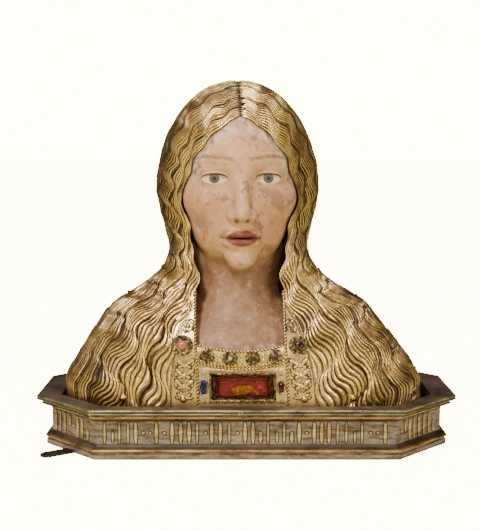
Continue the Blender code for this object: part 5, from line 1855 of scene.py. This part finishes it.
    def board_and_strap(self):
        """The oak board and the iron strap keep their solids."""
        oak, tree, shader = new_material("old_oak")
        # grain lines 4 mm apart along the board, soaked dark
        grain = patches(tree, 4, 5.0, 0.6, stretched_place(tree, (0.08, 1, 1)))
        colour = ramp_colour(tree, grain, (0.35, "#2A1B11"), (0.68, "#6A4C32"))
        inputs = {"Base Color": colour, "Roughness": 0.75, "Normal": bump(tree, grain, 0.5, 0.0005)}
        set_inputs(tree, shader, inputs)
        iron = base_metal("forged_iron", "#3C332C", "#120E0C", 8, 0.7, 0.5)
        for name, material in (("bottom_board", oak), ("iron_tongue", iron)):
            node = frame["nodes"][name]
            node.data.materials.clear()
            node.data.materials.append(material)


# The stage


class RELIQUARY_OT_stage(bpy.types.Operator):
    """Makes the floor, the light and the camera"""

    bl_idname = "reliquary.stage"
    bl_label = "Stage"

    def execute(self, context):
        settings = context.scene.reliquary_stage
        scene = context.scene
        bm = bmesh.new()
        bmesh.ops.create_circle(bm, cap_ends=True, radius=30, segments=64)
        mesh = bpy.data.meshes.new("floor")
        bm.to_mesh(mesh)
        bm.free()
        material, tree, shader = new_material("paper_floor")
        shader.inputs["Base Color"].default_value = tuple(settings.paper)
        shader.inputs["Roughness"].default_value = 0.9
        shader.inputs["Specular IOR Level"].default_value = 0.0
        # lit from below as a light table is, but only as the camera sees it
        shader.inputs["Emission Color"].default_value = tuple(settings.paper)
        glow = add_node(tree, "ShaderNodeLightPath").outputs["Is Camera Ray"]
        glow = add_node(tree, "ShaderNodeMath", {0: glow, 1: PAPER_GLOW * 0.9}, operation="MULTIPLY").outputs[0]
        tree.links.new(glow, shader.inputs["Emission Strength"])
        mesh.materials.append(material)
        floor = bpy.data.objects.new("floor", mesh)
        scene.collection.objects.link(floor)
        self.world(settings, scene)
        self.light(scene, "key", (-0.70, -1.45, 1.95), settings.key, 0.38, "#FFF4E4")
        self.light(scene, "fill", (1.5, -1.7, 0.9), settings.key * 0.13, 0.6, "#FFF6EC")
        self.light(scene, "top", (0.1, -0.1, 2.1), settings.key * 0.28, 0.6, "#FFFFFF")
        # small lamps that only the metal shows, as sparks on the chased ridges
        self.light(scene, "glint_front", (0.05, -2.3, 1.1), settings.key * 0.19, 0.12, "#FFE8BE")
        self.light(scene, "glint_left", (-1.5, -1.6, 0.7), settings.key * 0.15, 0.12, "#FFE8BE")
        self.light(scene, "glint_right", (1.2, -1.8, 0.8), settings.key * 0.16, 0.12, "#FFE8BE")
        camera = bpy.data.cameras.new("camera")
        camera.lens = settings.lens
        camera.sensor_width = 36
        camera.clip_start = 0.01
        seen = bpy.data.objects.new("camera", camera)
        seen.location = (-0.0076, -1.2612, 0.3475)
        seen.rotation_euler = (math.radians(90 - 6.245), 0, 0)
        scene.collection.objects.link(seen)
        scene.camera = seen
        return {"FINISHED"}

    def light(self, scene, name, spot, power, size, colour):
        lamp = bpy.data.lights.new(name, "AREA")
        lamp.energy = power
        lamp.size = size
        lamp.color = linear(colour)[:3]
        thing = bpy.data.objects.new(name, lamp)
        thing.location = spot
        thing.rotation_euler = (Vector((0, 0, 0.22)) - Vector(spot)).to_track_quat("-Z", "Y").to_euler()
        scene.collection.objects.link(thing)

    def world(self, settings, scene):
        """Pale paper behind the bust, and a dimmer room for the metal to reflect."""
        world = bpy.data.worlds.new("studio")
        world.use_nodes = True
        tree = world.node_tree
        tree.nodes.clear()
        seen = add_node(tree, "ShaderNodeBackground", {"Color": tuple(settings.paper), "Strength": PAPER_GLOW})
        room = add_node(tree, "ShaderNodeBackground", {"Color": linear("#B0A898"), "Strength": 0.15})
        path = add_node(tree, "ShaderNodeLightPath").outputs["Is Camera Ray"]
        mix = add_node(tree, "ShaderNodeMixShader", {0: path, 1: room.outputs[0], 2: seen.outputs[0]})
        add_node(tree, "ShaderNodeOutputWorld", {"Surface": mix.outputs[0]})
        scene.world = world


STEPS = ("hair", "face", "breast", "window", "relic")
STEPS += ("rosettes", "roundels", "side_stones", "fixings", "base", "stage")


class RELIQUARY_PT_panel(bpy.types.Panel):
    """Lists the steps that dress the reliquary"""

    bl_label = "Bust reliquary"
    bl_idname = "RELIQUARY_PT_panel"
    bl_space_type = "VIEW_3D"
    bl_region_type = "UI"
    bl_category = "Reliquary"

    def draw(self, context):
        for step in STEPS:
            self.layout.operator("reliquary." + step)


GROUPS = {
    "reliquary_hair": HairSettings,
    "reliquary_face": FaceSettings,
    "reliquary_breast": BreastSettings,
    "reliquary_window": WindowSettings,
    "reliquary_base": BaseSettings,
    "reliquary_stage": StageSettings,
}
OPERATORS = (
    RELIQUARY_OT_hair,
    RELIQUARY_OT_face,
    RELIQUARY_OT_breast,
    RELIQUARY_OT_window,
    RELIQUARY_OT_relic,
    RELIQUARY_OT_rosettes,
    RELIQUARY_OT_roundels,
    RELIQUARY_OT_side_stones,
    RELIQUARY_OT_fixings,
    RELIQUARY_OT_base,
    RELIQUARY_OT_stage,
    RELIQUARY_PT_panel,
)


def register():
    for name, group in GROUPS.items():
        bpy.utils.register_class(group)
        setattr(bpy.types.Scene, name, bpy.props.PointerProperty(type=group))
    for operator in OPERATORS:
        bpy.utils.register_class(operator)


def unregister():
    for operator in reversed(OPERATORS):
        bpy.utils.unregister_class(operator)
    for name, group in GROUPS.items():
        delattr(bpy.types.Scene, name)
        bpy.utils.unregister_class(group)


def main():
    # Blender's own start-up objects
    for thing in list(bpy.data.objects):
        if thing.name in ("Cube", "Light", "Camera") and thing.parent is None:
            bpy.data.objects.remove(thing)
    register()
    for step in STEPS:
        getattr(bpy.ops.reliquary, step)()


if __name__ == "__main__":
    main()
